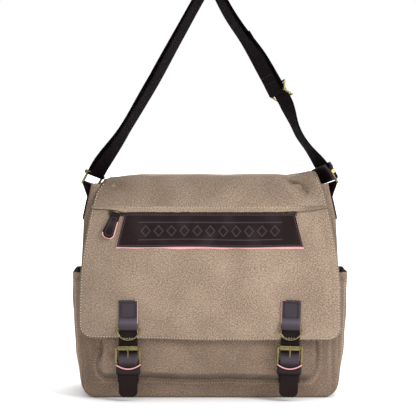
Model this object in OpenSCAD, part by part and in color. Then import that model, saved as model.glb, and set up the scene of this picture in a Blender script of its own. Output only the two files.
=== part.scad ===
// Canvas messenger bag with a full flap, a zipped flap pocket, two buckled
// leather closures, side pockets and an adjustable webbing shoulder strap.
// Origin: centre of the base on the floor. +X to the wearer's right seen from
// the front, -Y to the front, +Z up. Millimetres.

/* [Bag] */
// Width of the bag at its base
base_w = 360; // [350:1:370]
// Width of the bag at the mouth
mouth_w = 330; // [326:1:336]
// Depth of the bag at its base
base_d = 115; // [112:1:118]
// Height of the front rim
rim_h = 298; // [296:1:299]
// Thickness of the canvas
canvas_t = 1.6; // [1.4:0.1:1.8]
// Radius of the lower corners
corner_r = 21; // [18:1:24]

/* [Front pocket] */
// Width of the front pocket
pocket_w = 300; // [290:1:304]
// Height of the pocket's mouth above the floor
pocket_top = 190; // [180:1:192]

/* [Flap] */
// Height of the two flap folds above the floor
fold_z = 305.2; // [305:0.1:306]
// Lean of the flap's front, away from upright
flap_lean = 10; // [9.5:0.5:10.5]
// Length of the flap's front, fold to hem
flap_len = 225; // [220:1:228]
// Width of the flap at its hem
flap_w = 362; // [356:1:364]

/* [Closures] */
// Distance of each closure from the centre line
closure_x = 113; // [108:1:118]
// Width of the closure straps
closure_w = 25; // [24:0.5:25]
// Lean of the right closure
right_lean = 2; // [0:0.5:2]

/* [Shoulder strap] */
// Width of the webbing
web_w = 38; // [36:1:38]
// Thickness of the webbing
web_t = 1.6; // [1.4:0.1:1.6]
// Lean of each run of the strap
run_lean = 29.5; // [29:0.5:30]
// Twist of the webbing about its run
run_twist = 28; // [26:1:28]

/* [Hidden] */
$fn = 48;
gap = 0.15;

// Colours
canvas = [0.56, 0.48, 0.39];
leather = [0.20, 0.12, 0.12];
edge_pink = [0.88, 0.58, 0.56];
webbing = [0.15, 0.12, 0.13];
brass = [0.50, 0.46, 0.30];
cloth = [0.30, 0.27, 0.25];

// Bag outline: upright to shoulder_z, then drawn in to the mouth
shoulder_z = [190, 248];
shoulder_w = 354;
outline_top = 330;
front_y0 = -(base_d + 1) / 2;
front_y1 = -36;
back_y0 = (base_d - 1) / 2;
back_y1 = 46;
back_top = 303;
gusset_top = 301;

function front_y(z) = front_y0 + (front_y1 - front_y0) * z / fold_z;
function back_y(z) = back_y0 + (back_y1 - back_y0) * z / back_top;
function half_w(z) = z < shoulder_z[0] ? base_w / 2
    : z < shoulder_z[1] ? base_w / 2 - (base_w - shoulder_w) / 2
        * (z - shoulder_z[0]) / (shoulder_z[1] - shoulder_z[0])
    : shoulder_w / 2 - (shoulder_w - mouth_w) / 2 * (z - shoulder_z[1]) / (back_top - shoulder_z[1]);

// Shapes drawn in (x, z), as seen from the front, and pushed through in y
module through_y(y0, y1) translate([0, y1, 0]) rotate([90, 0, 0]) linear_extrude(y1 - y0) children();

// Shapes drawn in (y, z), as seen from the side, and pushed through in x
module through_x(half) translate([-half, 0, 0]) rotate([90, 0, 90]) linear_extrude(2 * half) children();

module bag_outline(inset, floor_z) {
    r = corner_r - inset;
    zs = [shoulder_z[0], shoulder_z[1], outline_top];
    for (side = [-1, 1]) translate([side * (half_w(0) - inset - r), floor_z + r]) circle(r);
    polygon(concat(
        [[-(half_w(0) - inset - r), floor_z], [half_w(0) - inset - r, floor_z],
            [half_w(0) - inset, floor_z + r]],
        [for (z = zs) [half_w(z) - inset, z]],
        [for (i = [2:-1:0]) [-(half_w(zs[i]) - inset), zs[i]]],
        [[-(half_w(0) - inset), floor_z + r]]));
}

// Side view between the front and back planes, drawn in by inset, up to a height
module bag_side(inset, top) polygon([
    [front_y(0) + inset, 0], [back_y(0) - inset, 0],
    [back_y(top) - inset, top], [front_y(top) + inset, top]]);

module bag_solid(inset, floor_z, top) intersection() {
    through_y(-100, 100) bag_outline(inset, floor_z);
    through_x(base_w) bag_side(inset, top);
}

// Room for the side rings to swing above the middle of the gusset
notch_d = 48;
notch_z = 278;
module ring_notches() for (side = [-1, 1])
    translate([side * half_w(notch_z) - 30, -notch_d / 2, notch_z]) cube([60, notch_d, 60]);

module front_panel() color(canvas) intersection() {
    through_y(-100, 100) bag_outline(0, 0);
    through_x(base_w) polygon([
        [front_y(0), 0], [front_y(0) + canvas_t, 0],
        [front_y(rim_h) + canvas_t, rim_h], [front_y(rim_h), rim_h]]);
}

module back_panel() color(canvas) intersection() {
    through_y(-100, 100) bag_outline(0, 0);
    through_x(base_w) polygon([
        [back_y(0) - canvas_t, 0], [back_y(0), 0],
        [back_y(back_top), back_top], [back_y(back_top) - canvas_t, back_top]]);
}

module gusset() color(canvas) difference() {
    intersection() {
        through_y(-100, 100) difference() {
            bag_outline(0, 0);
            bag_outline(canvas_t, canvas_t);
            translate([-base_w / 2, gusset_top]) square([base_w, 60]);
        }
        through_x(base_w) bag_side(canvas_t, gusset_top);
    }
    ring_notches();
}

// Lining bag, over the base board, up to the facing
lining_t = 0.8;
board_t = 2.2;
facing_z = 262;
lining_floor = canvas_t + board_t + 3 * gap;
module lining() color(cloth) difference() {
    bag_solid(canvas_t + 2 * gap, lining_floor, facing_z);
    bag_solid(canvas_t + 2 * gap + lining_t, lining_floor + lining_t, facing_z + 1);
}

facing_t = 1.4;
module mouth_facing() color(canvas) difference() {
    bag_solid(canvas_t + gap, 0, rim_h - 2);
    bag_solid(canvas_t + gap + facing_t, 0, rim_h);
    translate([-base_w, -100, 0]) cube([2 * base_w, 200, facing_z + gap]);
    ring_notches();
}

board_w = 310;
board_d = 104;
module base_board() color(cloth)
    translate([-board_w / 2, -board_d / 2 - 0.5, canvas_t + gap]) cube([board_w, board_d, board_t]);

// Front pocket: a box pleat with a sloping floor
pocket_face = [[-52.5, pocket_top], [-75, 36]];
pocket_heel_z = 24;
pocket_r = 12;
function pocket_y(z) = pocket_face[0][0] + (pocket_face[1][0] - pocket_face[0][0])
    * (pocket_top - z) / (pocket_top - pocket_face[1][1]);

module pocket_outline(inset, floor_z) {
    half = pocket_w / 2 - inset;
    r = pocket_r - inset;
    for (side = [-1, 1]) translate([side * (half - r), floor_z + r]) circle(r);
    polygon([[-(half - r), floor_z], [half - r, floor_z], [half, floor_z + r],
        [half, pocket_top + 5], [-half, pocket_top + 5], [-half, floor_z + r]]);
}

module pocket_panel() color(canvas) intersection() {
    through_y(-100, 0) pocket_outline(0, pocket_heel_z);
    through_x(base_w) polygon([
        pocket_face[0], pocket_face[1],
        [pocket_face[1][0] + canvas_t, pocket_face[1][1]], [pocket_face[0][0] + canvas_t, pocket_top]]);
}

module pocket_gusset() color(canvas) intersection() {
    difference() {
        through_y(-100, 0) pocket_outline(0, pocket_heel_z);
        intersection() {
            through_y(-100, 0) pocket_outline(canvas_t, pocket_heel_z);
            through_x(base_w) polygon([
                [0, pocket_heel_z + canvas_t + 6], [-100, pocket_face[1][1] + canvas_t + 12],
                [-100, pocket_top + 10], [0, pocket_top + 10]]);
        }
    }
    through_x(base_w) polygon([
        [front_y(pocket_heel_z) - gap, pocket_heel_z],
        [pocket_face[1][0] + canvas_t, pocket_face[1][1]],
        [pocket_face[0][0] + canvas_t, pocket_top],
        [front_y(pocket_top) - gap, pocket_top]]);
}

// Side pockets: pouches open at the top, sewn to the gusset
side_pocket_z = [16, 174];
side_pocket_out = [184, 196];
side_pocket_d = 90;
module side_pocket() color(canvas) difference() {
    through_y(-side_pocket_d / 2, side_pocket_d / 2) polygon([
        [base_w / 2 + gap, side_pocket_z[0]], [side_pocket_out[0], side_pocket_z[0]],
        [side_pocket_out[1], side_pocket_z[1]], [base_w / 2 + gap, side_pocket_z[1]]]);
    through_y(-side_pocket_d / 2 + canvas_t, side_pocket_d / 2 - canvas_t) polygon([
        [base_w / 2 - 1, side_pocket_z[0] + 6], [side_pocket_out[0] - canvas_t, side_pocket_z[0] + 6],
        [side_pocket_out[1] - canvas_t, side_pocket_z[1] + 1], [base_w / 2 - 1, side_pocket_z[1] + 1]]);
}
module side_pocket_left() mirror([1, 0, 0]) side_pocket();
module side_pocket_right() side_pocket();

// Flap: a crown over the mouth and a hanging front, hinged at two folds
flap_t = 3.8;
fold_y = -36;
seam_y = 46;
crown_t = 2.4;
crown_gap = 0.4;
crown_half = [134, 150];
module flap_crown() color(canvas) union() {
    translate([0, 0, fold_z - crown_t / 2]) linear_extrude(crown_t) polygon([
        [-crown_half[1], fold_y + flap_t / 2 + crown_gap], [crown_half[1], fold_y + flap_t / 2 + crown_gap],
        [crown_half[0], seam_y], [-crown_half[0], seam_y]]);
    translate([-crown_half[0], seam_y, fold_z]) rotate([0, 90, 0]) cylinder(h = 2 * crown_half[0], r = crown_t / 2);
}

// Flap frame: origin on the front fold, local -Z down the flap, face at -flap_t/2
module flap_frame() translate([0, fold_y, fold_z]) rotate([-flap_lean, 0, 0]) children();

// A flat piece on the flap, from u0 to u1 outward of the flap's face
module on_flap(u0, u1) translate([0, -flap_t / 2 - u0, 0]) rotate([90, 0, 0]) linear_extrude(u1 - u0) children();

hem_r = 17;
flap_sides = [[149.5, 0], [159.5, 20], [166, 46], [172, 78], [178, 115]];
module flap_outline(inset) {
    half = flap_w / 2 - inset;
    low = flap_len - inset;
    sides = concat([for (p = flap_sides) [p[0] - inset, -p[1]]], [[half, -150]]);
    last = len(sides) - 1;
    r = hem_r - inset;
    for (side = [-1, 1]) translate([side * (half - r), -(low - r)]) circle(r);
    polygon(concat(sides, [[half, -(low - r)], [half - r, -low], [-(half - r), -low], [-half, -(low - r)]],
        [for (i = [last:-1:0]) [-sides[i][0], sides[i][1]]]));
}

zip_x = [-141, 121];
slot_v = [44, 52];
teeth_v = 47.2;
module zip_slot() translate([zip_x[0], -slot_v[1]]) square([zip_x[1] - zip_x[0], slot_v[1] - slot_v[0]]);

module flap_panel() color(canvas) flap_frame() union() {
    on_flap(-canvas_t, 0) difference() {
        flap_outline(0);
        zip_slot();
    }
    translate([-flap_sides[0][0], 0, 0]) rotate([0, 90, 0]) cylinder(h = 2 * flap_sides[0][0], r = flap_t / 2);
}

flap_lining_t = 1;
rim_band = 9;
lining_top = 20;
module flap_lining() color(cloth) flap_frame() difference() {
    union() {
        on_flap(-flap_t, -flap_t + flap_lining_t) flap_outline(0.5);
        on_flap(-flap_t + flap_lining_t - 0.01, -canvas_t - 0.05) difference() {
            flap_outline(0.5);
            flap_outline(rim_band);
        }
    }
    translate([-base_w, -flap_t, -lining_top]) cube([2 * base_w, 2 * flap_t, 2 * lining_top]);
}

// Welt over the zip
welt_v = [36, 46];
welt_half = 161;
module flap_welt() color(canvas) flap_frame() on_flap(0.1, 1.5)
    translate([-welt_half, -welt_v[1]]) square([2 * welt_half, welt_v[1] - welt_v[0]]);

tape_margin = 6;
module zip_tape() color(cloth) flap_frame() on_flap(-2.1, -canvas_t - 0.05)
    translate([zip_x[0] - tape_margin, -slot_v[1] - tape_margin])
        square([zip_x[1] - zip_x[0] + 2 * tape_margin, slot_v[1] - slot_v[0] + 2 * tape_margin]);

teeth_t = 0.75;
module zip_teeth() color(brass) flap_frame() on_flap(-canvas_t, -canvas_t + teeth_t)
    translate([zip_x[0] + 2, -teeth_v - 2]) square([zip_x[1] - zip_x[0] - 4, 4]);

// Leather patch below the zip, on its pink backing
patch_v = [48.4, 96];
patch_half = [119, 130.5];
backing_t = 0.6;
patch_t = 1.8;
module patch_outline(drop) polygon([
    [-patch_half[0], -patch_v[0]], [patch_half[0], -patch_v[0]],
    [patch_half[1] + drop / 6, -patch_v[1] - drop], [-patch_half[1] - drop / 6, -patch_v[1] - drop]]);
module patch_backing() color(edge_pink) flap_frame() on_flap(0.1, 0.1 + backing_t) patch_outline(1.6);
module leather_patch() color(leather) flap_frame() on_flap(0.1 + backing_t, 0.1 + backing_t + patch_t)
    patch_outline(0);

// Zip slider, its link and the leather puller
slider_x = -131.5;
slider_l = 11;
head_u = 4.3;
head_r = 1.6;
link_r = 0.6;
link_fit = 0.05;
link_drop = 4.7;
plate_w = 4.8;
post_w = 5;
module slider_frame() flap_frame() translate([slider_x, -flap_t / 2, -teeth_v]) children();
module zip_slider() color(brass) slider_frame() difference() {
    union() {
        translate([-slider_l / 2, 0.05, -plate_w / 2]) cube([slider_l, 0.7, plate_w]);
        translate([-post_w / 2, -head_u, -head_r / 2]) cube([post_w, head_u + 0.4, head_r]);
        translate([-post_w / 2, -head_u, 0]) rotate([0, 90, 0]) cylinder(h = post_w, r = head_r);
    }
    translate([-post_w, -head_u, 0]) rotate([0, 90, 0]) cylinder(h = 2 * post_w, r = link_r + link_fit);
}
link_half = 3.6;
module zip_pull_link() color(brass) slider_frame() translate([0, -head_u, 0]) union() {
    for (z = [0, -link_drop]) translate([-link_half, 0, z]) rotate([0, 90, 0]) cylinder(h = 2 * link_half, r = link_r);
    for (side = [-1, 1]) {
        translate([side * link_half, 0, -link_drop]) cylinder(h = link_drop, r = link_r);
        for (z = [0, -link_drop]) translate([side * link_half, 0, z]) sphere(link_r);
    }
}
puller_lean = 21;
puller_w = [9, 14];
puller_len = 32;
puller_t = 2.2;
module zip_puller() color(leather) slider_frame() translate([0, -head_u, 0]) difference() {
    translate([0, puller_t / 2, -link_drop]) rotate([0, puller_lean, 0]) rotate([90, 0, 0]) linear_extrude(puller_t)
        polygon([[-puller_w[0] / 2, 1.6], [puller_w[0] / 2, 1.6],
            [puller_w[1] / 2, -puller_len], [-puller_w[1] / 2, -puller_len]]);
    hull() for (z = [0, 0.6]) translate([-20, 0, z - link_drop]) rotate([0, 90, 0]) cylinder(h = 40, r = link_r + 0.1, $fn = 32);
    for (side = [-1, 1]) translate([side * link_half - 0.8, -3, -link_drop]) cube([1.6, 6, 6]);
}

// Magnetic snaps between the flap and the front pocket
snap_r = 8;
snap_v = 204;
snap_t = 1.9;
snap_z = fold_z - snap_v * cos(flap_lean);
module snap_stud(side) color(brass) flap_frame() translate([side * closure_x, flap_t / 2 + 0.05, -snap_v])
    rotate([-90, 0, 0]) union() {
        cylinder(h = snap_t - 0.6, r = snap_r);
        cylinder(h = snap_t, r = snap_r / 2.5);
    }
module snap_stud_left() snap_stud(-1);
module snap_stud_right() snap_stud(1);
module snap_socket(side) color(brass) translate([side * closure_x, pocket_y(snap_z) - 0.05, snap_z])
    rotate([90 - 8, 0, 0]) difference() {
        cylinder(h = snap_t, r = snap_r);
        translate([0, 0, snap_t - 1.1]) cylinder(h = 2, r = snap_r / 2);
    }
module snap_socket_left() snap_socket(-1);
module snap_socket_right() snap_socket(1);

// Closures. side -1 is the left one; the right one leans about its stitched top
lean_z = 138;
module leaned(side) translate([side * closure_x, 0, lean_z])
    rotate([0, side > 0 ? right_lean : 0, 0]) translate([0, 0, -lean_z]) children();

// Profile drawn in (u, v): u outward of the face, v along the piece, pushed through in x
module profile_x(w) translate([-w / 2, 0, 0]) rotate([90, 0, 90]) linear_extrude(w) mirror([1, 0]) children();
module bar_x(w, r) translate([-w / 2, 0, 0]) rotate([0, 90, 0]) cylinder(h = w, r = r);

// Stitched tab with the D-ring in its fold, in the flap's frame
tab_v = [170.5, 208.7];
ply_t = 1.4;
strap_t = 1.7;
d_u = 4.5;
d_wire = 1.2;
d_fit = 0.07;
module tab_frame(side) leaned(side) flap_frame() translate([0, -flap_t / 2, 0]) children();
module closure_tab(side) color(leather) tab_frame(side) difference() {
    profile_x(closure_w) union() {
        polygon([[1.9, -tab_v[0]], [4.7, -tab_v[0]], [4.7, -198], [6.9, -205.5], [7.15, -tab_v[1]], [1.9, -tab_v[1]]]);
        translate([d_u, -tab_v[1]]) circle(2.65);
    }
    translate([0, -d_u, -tab_v[1]]) bar_x(60, d_wire + d_fit);
}
module closure_tab_left() closure_tab(-1);
module closure_tab_right() closure_tab(1);

d_radius = 15.8;
module d_ring(side) color(brass) tab_frame(side) translate([0, -d_u, -tab_v[1]]) union() {
    bar_x(2 * d_radius, d_wire);
    rotate([90, 0, 0]) rotate([0, 0, 180]) rotate_extrude(angle = 180) translate([d_radius, 0]) circle(d_wire);
    for (end = [-1, 1]) translate([end * d_radius, 0, 0]) sphere(d_wire);
}
module d_ring_left() d_ring(-1);
module d_ring_right() d_ring(1);

// Closure frame: origin on the flap's face at the hem, leaning less than the flap
hang_lean = 3.5;
hem_y = fold_y - flap_len * sin(flap_lean) - flap_t / 2 * cos(flap_lean);
hem_z = fold_z - flap_len * cos(flap_lean) + flap_t / 2 * sin(flap_lean);
module closure_frame(side) leaned(side) translate([0, hem_y, hem_z]) rotate([-hang_lean, 0, 0]) children();

// Inner face of the hanging strap in (u, v), v from the hem
strap_path = [[0.1, 3], [0.1, -12], [2.6, -16.5], [5, -21], [5.6, -24], [5.4, -31], [2.5, -35.5], [2.5, -78]];
function unit(v) = v / norm(v);
function side_of(path, i) = let(
        a = i > 0 ? unit(path[i] - path[i - 1]) : unit(path[1] - path[0]),
        b = i < len(path) - 1 ? unit(path[i + 1] - path[i]) : a,
        n = unit(a + b)) [-n[1], n[0]] / (n * a);
module ribbon(path, t) polygon(concat(path, [for (i = [len(path) - 1:-1:0]) path[i] + t * side_of(path, i)]));

roller_at = [5.7, -10.4];
heel_at = [2, -30.2];
bar_r = 1.5;
pin_fit = 0.06;
slot_at = [-30.5, -18.5];
slot_w = 3.6;
module closure_strap(side) color(leather) union() {
    difference() {
        closure_frame(side) profile_x(closure_w) ribbon(strap_path, strap_t);
        closure_frame(side) translate([-slot_w / 2, -12, slot_at[0]])
            cube([slot_w, 12, slot_at[1] - slot_at[0]]);
    }
    leaned(side) flap_frame() on_flap(0.1, 0.1 + strap_t) translate([-closure_w / 2, -flap_len])
        square([closure_w, flap_len - tab_v[0] - 1]);
}
module closure_strap_left() closure_strap(-1);
module closure_strap_right() closure_strap(1);

// Chape: folded round the heel bar, slotted for the prong, hanging behind the strap
chape_w = 28;
fold_r = 3.1;
chape_low = -60;
chape_slot = 4.8;
module chape(side) color(leather) closure_frame(side) difference() {
    profile_x(chape_w) union() {
        translate(heel_at) circle(fold_r);
        polygon([[heel_at[0] - fold_r, heel_at[1]], [heel_at[0] + 0.3, heel_at[1] - 3], [heel_at[0] + 0.2, chape_low],
            [heel_at[0] - fold_r, chape_low]]);
    }
    translate([0, -heel_at[0], heel_at[1]]) bar_x(60, bar_r + pin_fit);
    translate([-chape_slot / 2, -heel_at[0] - 5, heel_at[1] - 4]) cube([chape_slot, 10, 10]);
}
module chape_left() chape(-1);
module chape_right() chape(1);

// A round rod between two points
module rod(a, b, r) {
    d = b - a;
    translate(a) rotate([0, acos(d[2] / norm(d)), atan2(d[1], d[0])]) cylinder(h = norm(d), r = r);
}
module balls(places, r) for (p = places) translate(p) sphere(r);
function at_uv(x, p) = [x, -p[0], p[1]];

frame_half = 16.3;
side_r = 1.8;
module buckle_frame(side) color(brass) closure_frame(side) union() {
    for (p = [roller_at, heel_at]) translate(at_uv(0, p)) bar_x(2 * frame_half, bar_r);
    for (end = [-1, 1]) {
        rod(at_uv(end * frame_half, heel_at), at_uv(end * frame_half, roller_at), side_r);
        balls([at_uv(end * frame_half, heel_at), at_uv(end * frame_half, roller_at)], side_r);
    }
}
module buckle_frame_left() buckle_frame(-1);
module buckle_frame_right() buckle_frame(1);

roller_r = 3.7;
roller_w = 27;
module roller(side) color(brass) closure_frame(side) translate(at_uv(0, roller_at)) difference() {
    bar_x(roller_w, roller_r);
    bar_x(roller_w + 2, bar_r + pin_fit);
}
module roller_left() roller(-1);
module roller_right() roller(1);

// Prong: an eye on the heel bar and a pin through the strap onto the roller
prong_r = 1.2;
prong_rest = 1.05;
prong_tip = [roller_at[0] + roller_r + prong_r + prong_rest, roller_at[1] + 1.5];
prong_root = [heel_at[0] + 1.9, heel_at[1] + 1.6];
prong_eye_r = 2.9;
prong_eye_w = 4;
module prong(side) color(brass) closure_frame(side) difference() {
    union() {
        translate(at_uv(0, heel_at)) bar_x(prong_eye_w, prong_eye_r);
        rod(at_uv(0, prong_root), at_uv(0, prong_tip), prong_r - 0.1);
        balls([at_uv(0, prong_tip)], prong_r);
    }
    translate(at_uv(0, heel_at)) bar_x(10, bar_r + pin_fit);
}
module prong_left() prong(-1);
module prong_right() prong(1);

// Keeper: a leather loop round the strap and the chape
keeper_v = [-36, -48.5];
keeper_in = [-1.4, 4.5];
keeper_half = 15.2;
keeper_t = 1.5;
module keeper(side) color(leather) closure_frame(side) translate([0, 0, keeper_v[1]])
    linear_extrude(keeper_v[0] - keeper_v[1]) difference() {
        translate([-keeper_half - keeper_t, -keeper_in[1] - keeper_t])
            square([2 * (keeper_half + keeper_t), keeper_in[1] - keeper_in[0] + 2 * keeper_t]);
        translate([-keeper_half, -keeper_in[1]]) square([2 * keeper_half, keeper_in[1] - keeper_in[0]]);
    }
module keeper_left() keeper(-1);
module keeper_right() keeper(1);

// Side rings and the runs of the shoulder strap. Everything is drawn on the left
// and mirrored. Run frame: origin on the ring's upper bar, local Z up the run,
// local Y along the bar towards the back, local X to the inside.
ring_low = [-171, 294.7];
ring_h = 17;
ring_top = ring_low + ring_h * [sin(run_lean), cos(run_lean)];
ring_wire = 1.75;
ring_half = 21.5;
module sided(side) mirror([side > 0 ? 1 : 0, 0, 0]) children();
module run_frame(side) sided(side) translate([ring_top[0], 0, ring_top[1]])
    rotate([0, run_lean, 0]) rotate([0, 0, -run_twist]) children();
module bar_y(l, r) rotate([90, 0, 0]) translate([0, 0, -l / 2]) cylinder(h = l, r = r);

eye_r = 2.9;
eye_l = 4;
pin_r = 1.5;
module side_ring(side) color(brass) run_frame(side) difference() {
    union() {
        translate([0, 0, -ring_h]) bar_y(2 * ring_half, ring_wire);
        for (end = [-1, 1]) translate([0, end * ring_half, 0]) {
            rod([0, 0, -ring_h], [0, 0, -2], ring_wire);
            balls([[0, 0, -ring_h]], ring_wire);
            bar_y(eye_l, eye_r);
        }
    }
    bar_y(4 * ring_half, pin_r + 0.03);
}
module side_ring_left() side_ring(-1);
module side_ring_right() side_ring(1);
knob_r = 3;
knob_l = 3.2;
module ring_pin(side) color(brass) run_frame(side) union() {
    bar_y(2 * ring_half + eye_l + 1, pin_r);
    translate([0, -ring_half - eye_l / 2 - knob_l / 2 - 0.2, 0]) bar_y(knob_l, knob_r);
}
module ring_pin_left() ring_pin(-1);
module ring_pin_right() ring_pin(1);

// Side tabs: sewn flat to the gusset below, folded round the ring above
tab_low = 246;
tab_w = 34;
tab_t = 3.4;
tab_fold_r = 3.55;
tab_gap = 0.45;
module side_tab(side) color(leather) difference() {
    union() {
        sided(side) through_y(-tab_w / 2, tab_w / 2) polygon([
            [-half_w(tab_low) - tab_gap, tab_low], [-half_w(notch_z + 1) - tab_gap, notch_z + 1],
            [-half_w(notch_z + 1) - tab_gap - tab_t, notch_z + 1], [-half_w(tab_low) - tab_gap - tab_t, tab_low]]);
        sided(side) hull() {
            translate([-half_w(notch_z) - tab_gap - tab_t, -tab_w / 2, notch_z]) cube([tab_t, tab_w, 1]);
            translate([ring_top[0], 0, ring_top[1]]) rotate([0, run_lean, 0]) rotate([0, 0, -run_twist])
                translate([-1.5, -tab_w / 2, -ring_h - 3]) cube([3, tab_w, 1]);
        }
        run_frame(side) translate([0, 0, -ring_h]) bar_y(tab_w, tab_fold_r);
    }
    run_frame(side) translate([0, 0, -ring_h]) bar_y(4 * tab_w, ring_wire + 0.08);
}
module side_tab_left() side_tab(-1);
module side_tab_right() side_tab(1);

// Webbing: the running layer outside, the return layer inside, lane apart
lane = 2.65;
apex_r = 20;
apex_z = ring_top[1] - ring_top[0] / tan(run_lean);
arc_z = apex_z - apex_r / sin(run_lean);
tangent = [-apex_r * cos(run_lean), arc_z + apex_r * sin(run_lean)];
span = norm(tangent - ring_top);
module layer(off, z0, z1) translate([off - web_t / 2, -web_w / 2, z0]) cube([web_t, web_w, z1 - z0]);
module apex_layer(off) translate([0, 0, arc_z]) rotate([-90, 0, 0]) rotate([0, 0, -(180 - run_lean)])
    rotate_extrude(angle = 180 - 2 * run_lean) translate([apex_r, 0]) rotate(run_twist)
        translate([off, 0]) square([web_t, web_w], center = true);

adjuster_s = 134;
adjuster_travel = 25;
return_end = adjuster_s + 34 + adjuster_travel;
leather_s = 14;
module shoulder_strap() color(webbing) union() {
    run_frame(-1) {
        layer(-lane, 0, span);
        layer(lane, 0, span);
        difference() {
            bar_y(web_w, lane + web_t / 2);
            bar_y(web_w + 2, lane - web_t / 2);
            translate([-10, -web_w, 0]) cube([20, 2 * web_w, 10]);
        }
    }
    apex_layer(lane);
    apex_layer(-lane);
    run_frame(1) {
        layer(-lane, leather_s + 0.2, span);
        layer(lane, return_end, span);
    }
}

// Leather end at the right ring, folded round its pin and sewn over the webbing
end_t = 1.7;
end_top = 30;
module strap_end_leather() color(leather) run_frame(1) union() {
    difference() {
        bar_y(web_w, lane + web_t / 2);
        bar_y(web_w + 2, lane - web_t / 2);
        translate([-10, -web_w, 0]) cube([20, 2 * web_w, 10]);
    }
    layer(-lane, 0, leather_s);
    layer(lane, 0, leather_s);
    translate([-lane - web_t / 2, -web_w / 2, leather_s - 4]) cube([2 * lane + web_t, web_w, 4]);
    for (x = [-lane - web_t / 2 - 0.05 - end_t, -lane + web_t / 2 + 0.05])
        translate([x, -web_w / 2, leather_s - 4]) cube([end_t, web_w, end_top - leather_s + 4]);
}

// Adjuster: a bowed three-bar slide. Its end bars lie outside the running layer,
// its centre bar inside, within the sewn loop of the return end.
loop_lane = 4.45;
loop_x = (loop_lane - 0.85) / 2;
outer_x = -lane - web_t / 2 - 1.8;
adj_half_l = 11;
adj_half_w = 22.5;
adj_r = 1.5;
module adjuster_place() run_frame(1) translate([0, 0, adjuster_s]) children();
module adjuster_frame() color(brass) adjuster_place() union() {
    for (z = [-adj_half_l, adj_half_l]) translate([outer_x, 0, z]) bar_y(2 * adj_half_w, adj_r);
    translate([loop_x, 0, 0]) bar_y(2 * adj_half_w, adj_r);
    for (y = [-adj_half_w, adj_half_w]) {
        for (z = [-adj_half_l, adj_half_l]) rod([outer_x, y, z], [loop_x, y, 0], adj_r - 0.1);
        balls([[outer_x, y, -adj_half_l], [loop_x, y, 0], [outer_x, y, adj_half_l]], adj_r + 0.1);
    }
}
module strap_loop_end() color(webbing) adjuster_place() union() {
    difference() {
        translate([loop_x, 0, 0]) bar_y(web_w, loop_lane + web_t / 2 - loop_x);
        translate([loop_x, 0, 0]) bar_y(web_w + 2, loop_lane - web_t / 2 - loop_x);
        translate([-20, -web_w, 0]) cube([40, 2 * web_w, 20]);
    }
    layer(2 * loop_x - loop_lane, 0, 30);
    layer(loop_lane, 0, 95);
    translate([2 * loop_x - loop_lane, -web_w / 2, 14]) cube([2 * (loop_lane - loop_x), web_w, 16]);
}

front_panel();
back_panel();
gusset();
lining();
mouth_facing();
base_board();
pocket_panel();
pocket_gusset();
side_pocket_left();
side_pocket_right();
side_tab_left();
side_tab_right();
snap_socket_left();
snap_socket_right();
flap_crown();
flap_panel();
flap_lining();
flap_welt();
zip_tape();
zip_teeth();
leather_patch();
patch_backing();
snap_stud_left();
snap_stud_right();
closure_tab_left();
closure_tab_right();
closure_strap_left();
closure_strap_right();
chape_left();
chape_right();
buckle_frame_left();
buckle_frame_right();
d_ring_left();
d_ring_right();
roller_left();
roller_right();
prong_left();
prong_right();
keeper_left();
keeper_right();
zip_slider();
zip_pull_link();
zip_puller();
shoulder_strap();
strap_end_leather();
side_ring_left();
side_ring_right();
ring_pin_left();
ring_pin_right();
adjuster_frame();
strap_loop_end();
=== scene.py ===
"""Looks for the canvas messenger bag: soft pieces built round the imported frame.

Lengths are in mm until build() turns them into metres. The bag's front faces -y and its base is z = 0.
On the flap, q runs from the rear seam over the fold and down, and v is the distance below the front
crease. A closure has x across, u outward and w up; a run of the strap has lx in, ly back and lz up.
"""

from math import cos, hypot, pi, radians, sin, tan

import bpy
import numpy as np
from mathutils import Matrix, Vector


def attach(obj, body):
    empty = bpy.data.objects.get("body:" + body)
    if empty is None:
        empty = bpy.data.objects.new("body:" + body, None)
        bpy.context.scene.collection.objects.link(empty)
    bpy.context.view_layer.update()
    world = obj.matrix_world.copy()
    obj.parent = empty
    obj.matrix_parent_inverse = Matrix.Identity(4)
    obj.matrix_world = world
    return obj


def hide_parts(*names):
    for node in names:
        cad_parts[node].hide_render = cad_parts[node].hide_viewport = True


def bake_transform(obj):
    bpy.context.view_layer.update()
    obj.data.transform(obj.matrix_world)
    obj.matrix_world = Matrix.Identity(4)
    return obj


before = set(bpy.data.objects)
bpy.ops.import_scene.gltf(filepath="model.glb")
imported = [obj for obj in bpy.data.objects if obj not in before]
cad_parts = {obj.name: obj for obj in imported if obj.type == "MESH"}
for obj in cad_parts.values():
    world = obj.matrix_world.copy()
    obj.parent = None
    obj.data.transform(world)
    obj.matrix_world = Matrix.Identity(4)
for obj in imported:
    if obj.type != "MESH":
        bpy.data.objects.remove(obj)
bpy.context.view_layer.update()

MM = 0.001
TURN = 2 * pi

# ---------------------------------------------------------------- materials


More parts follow.
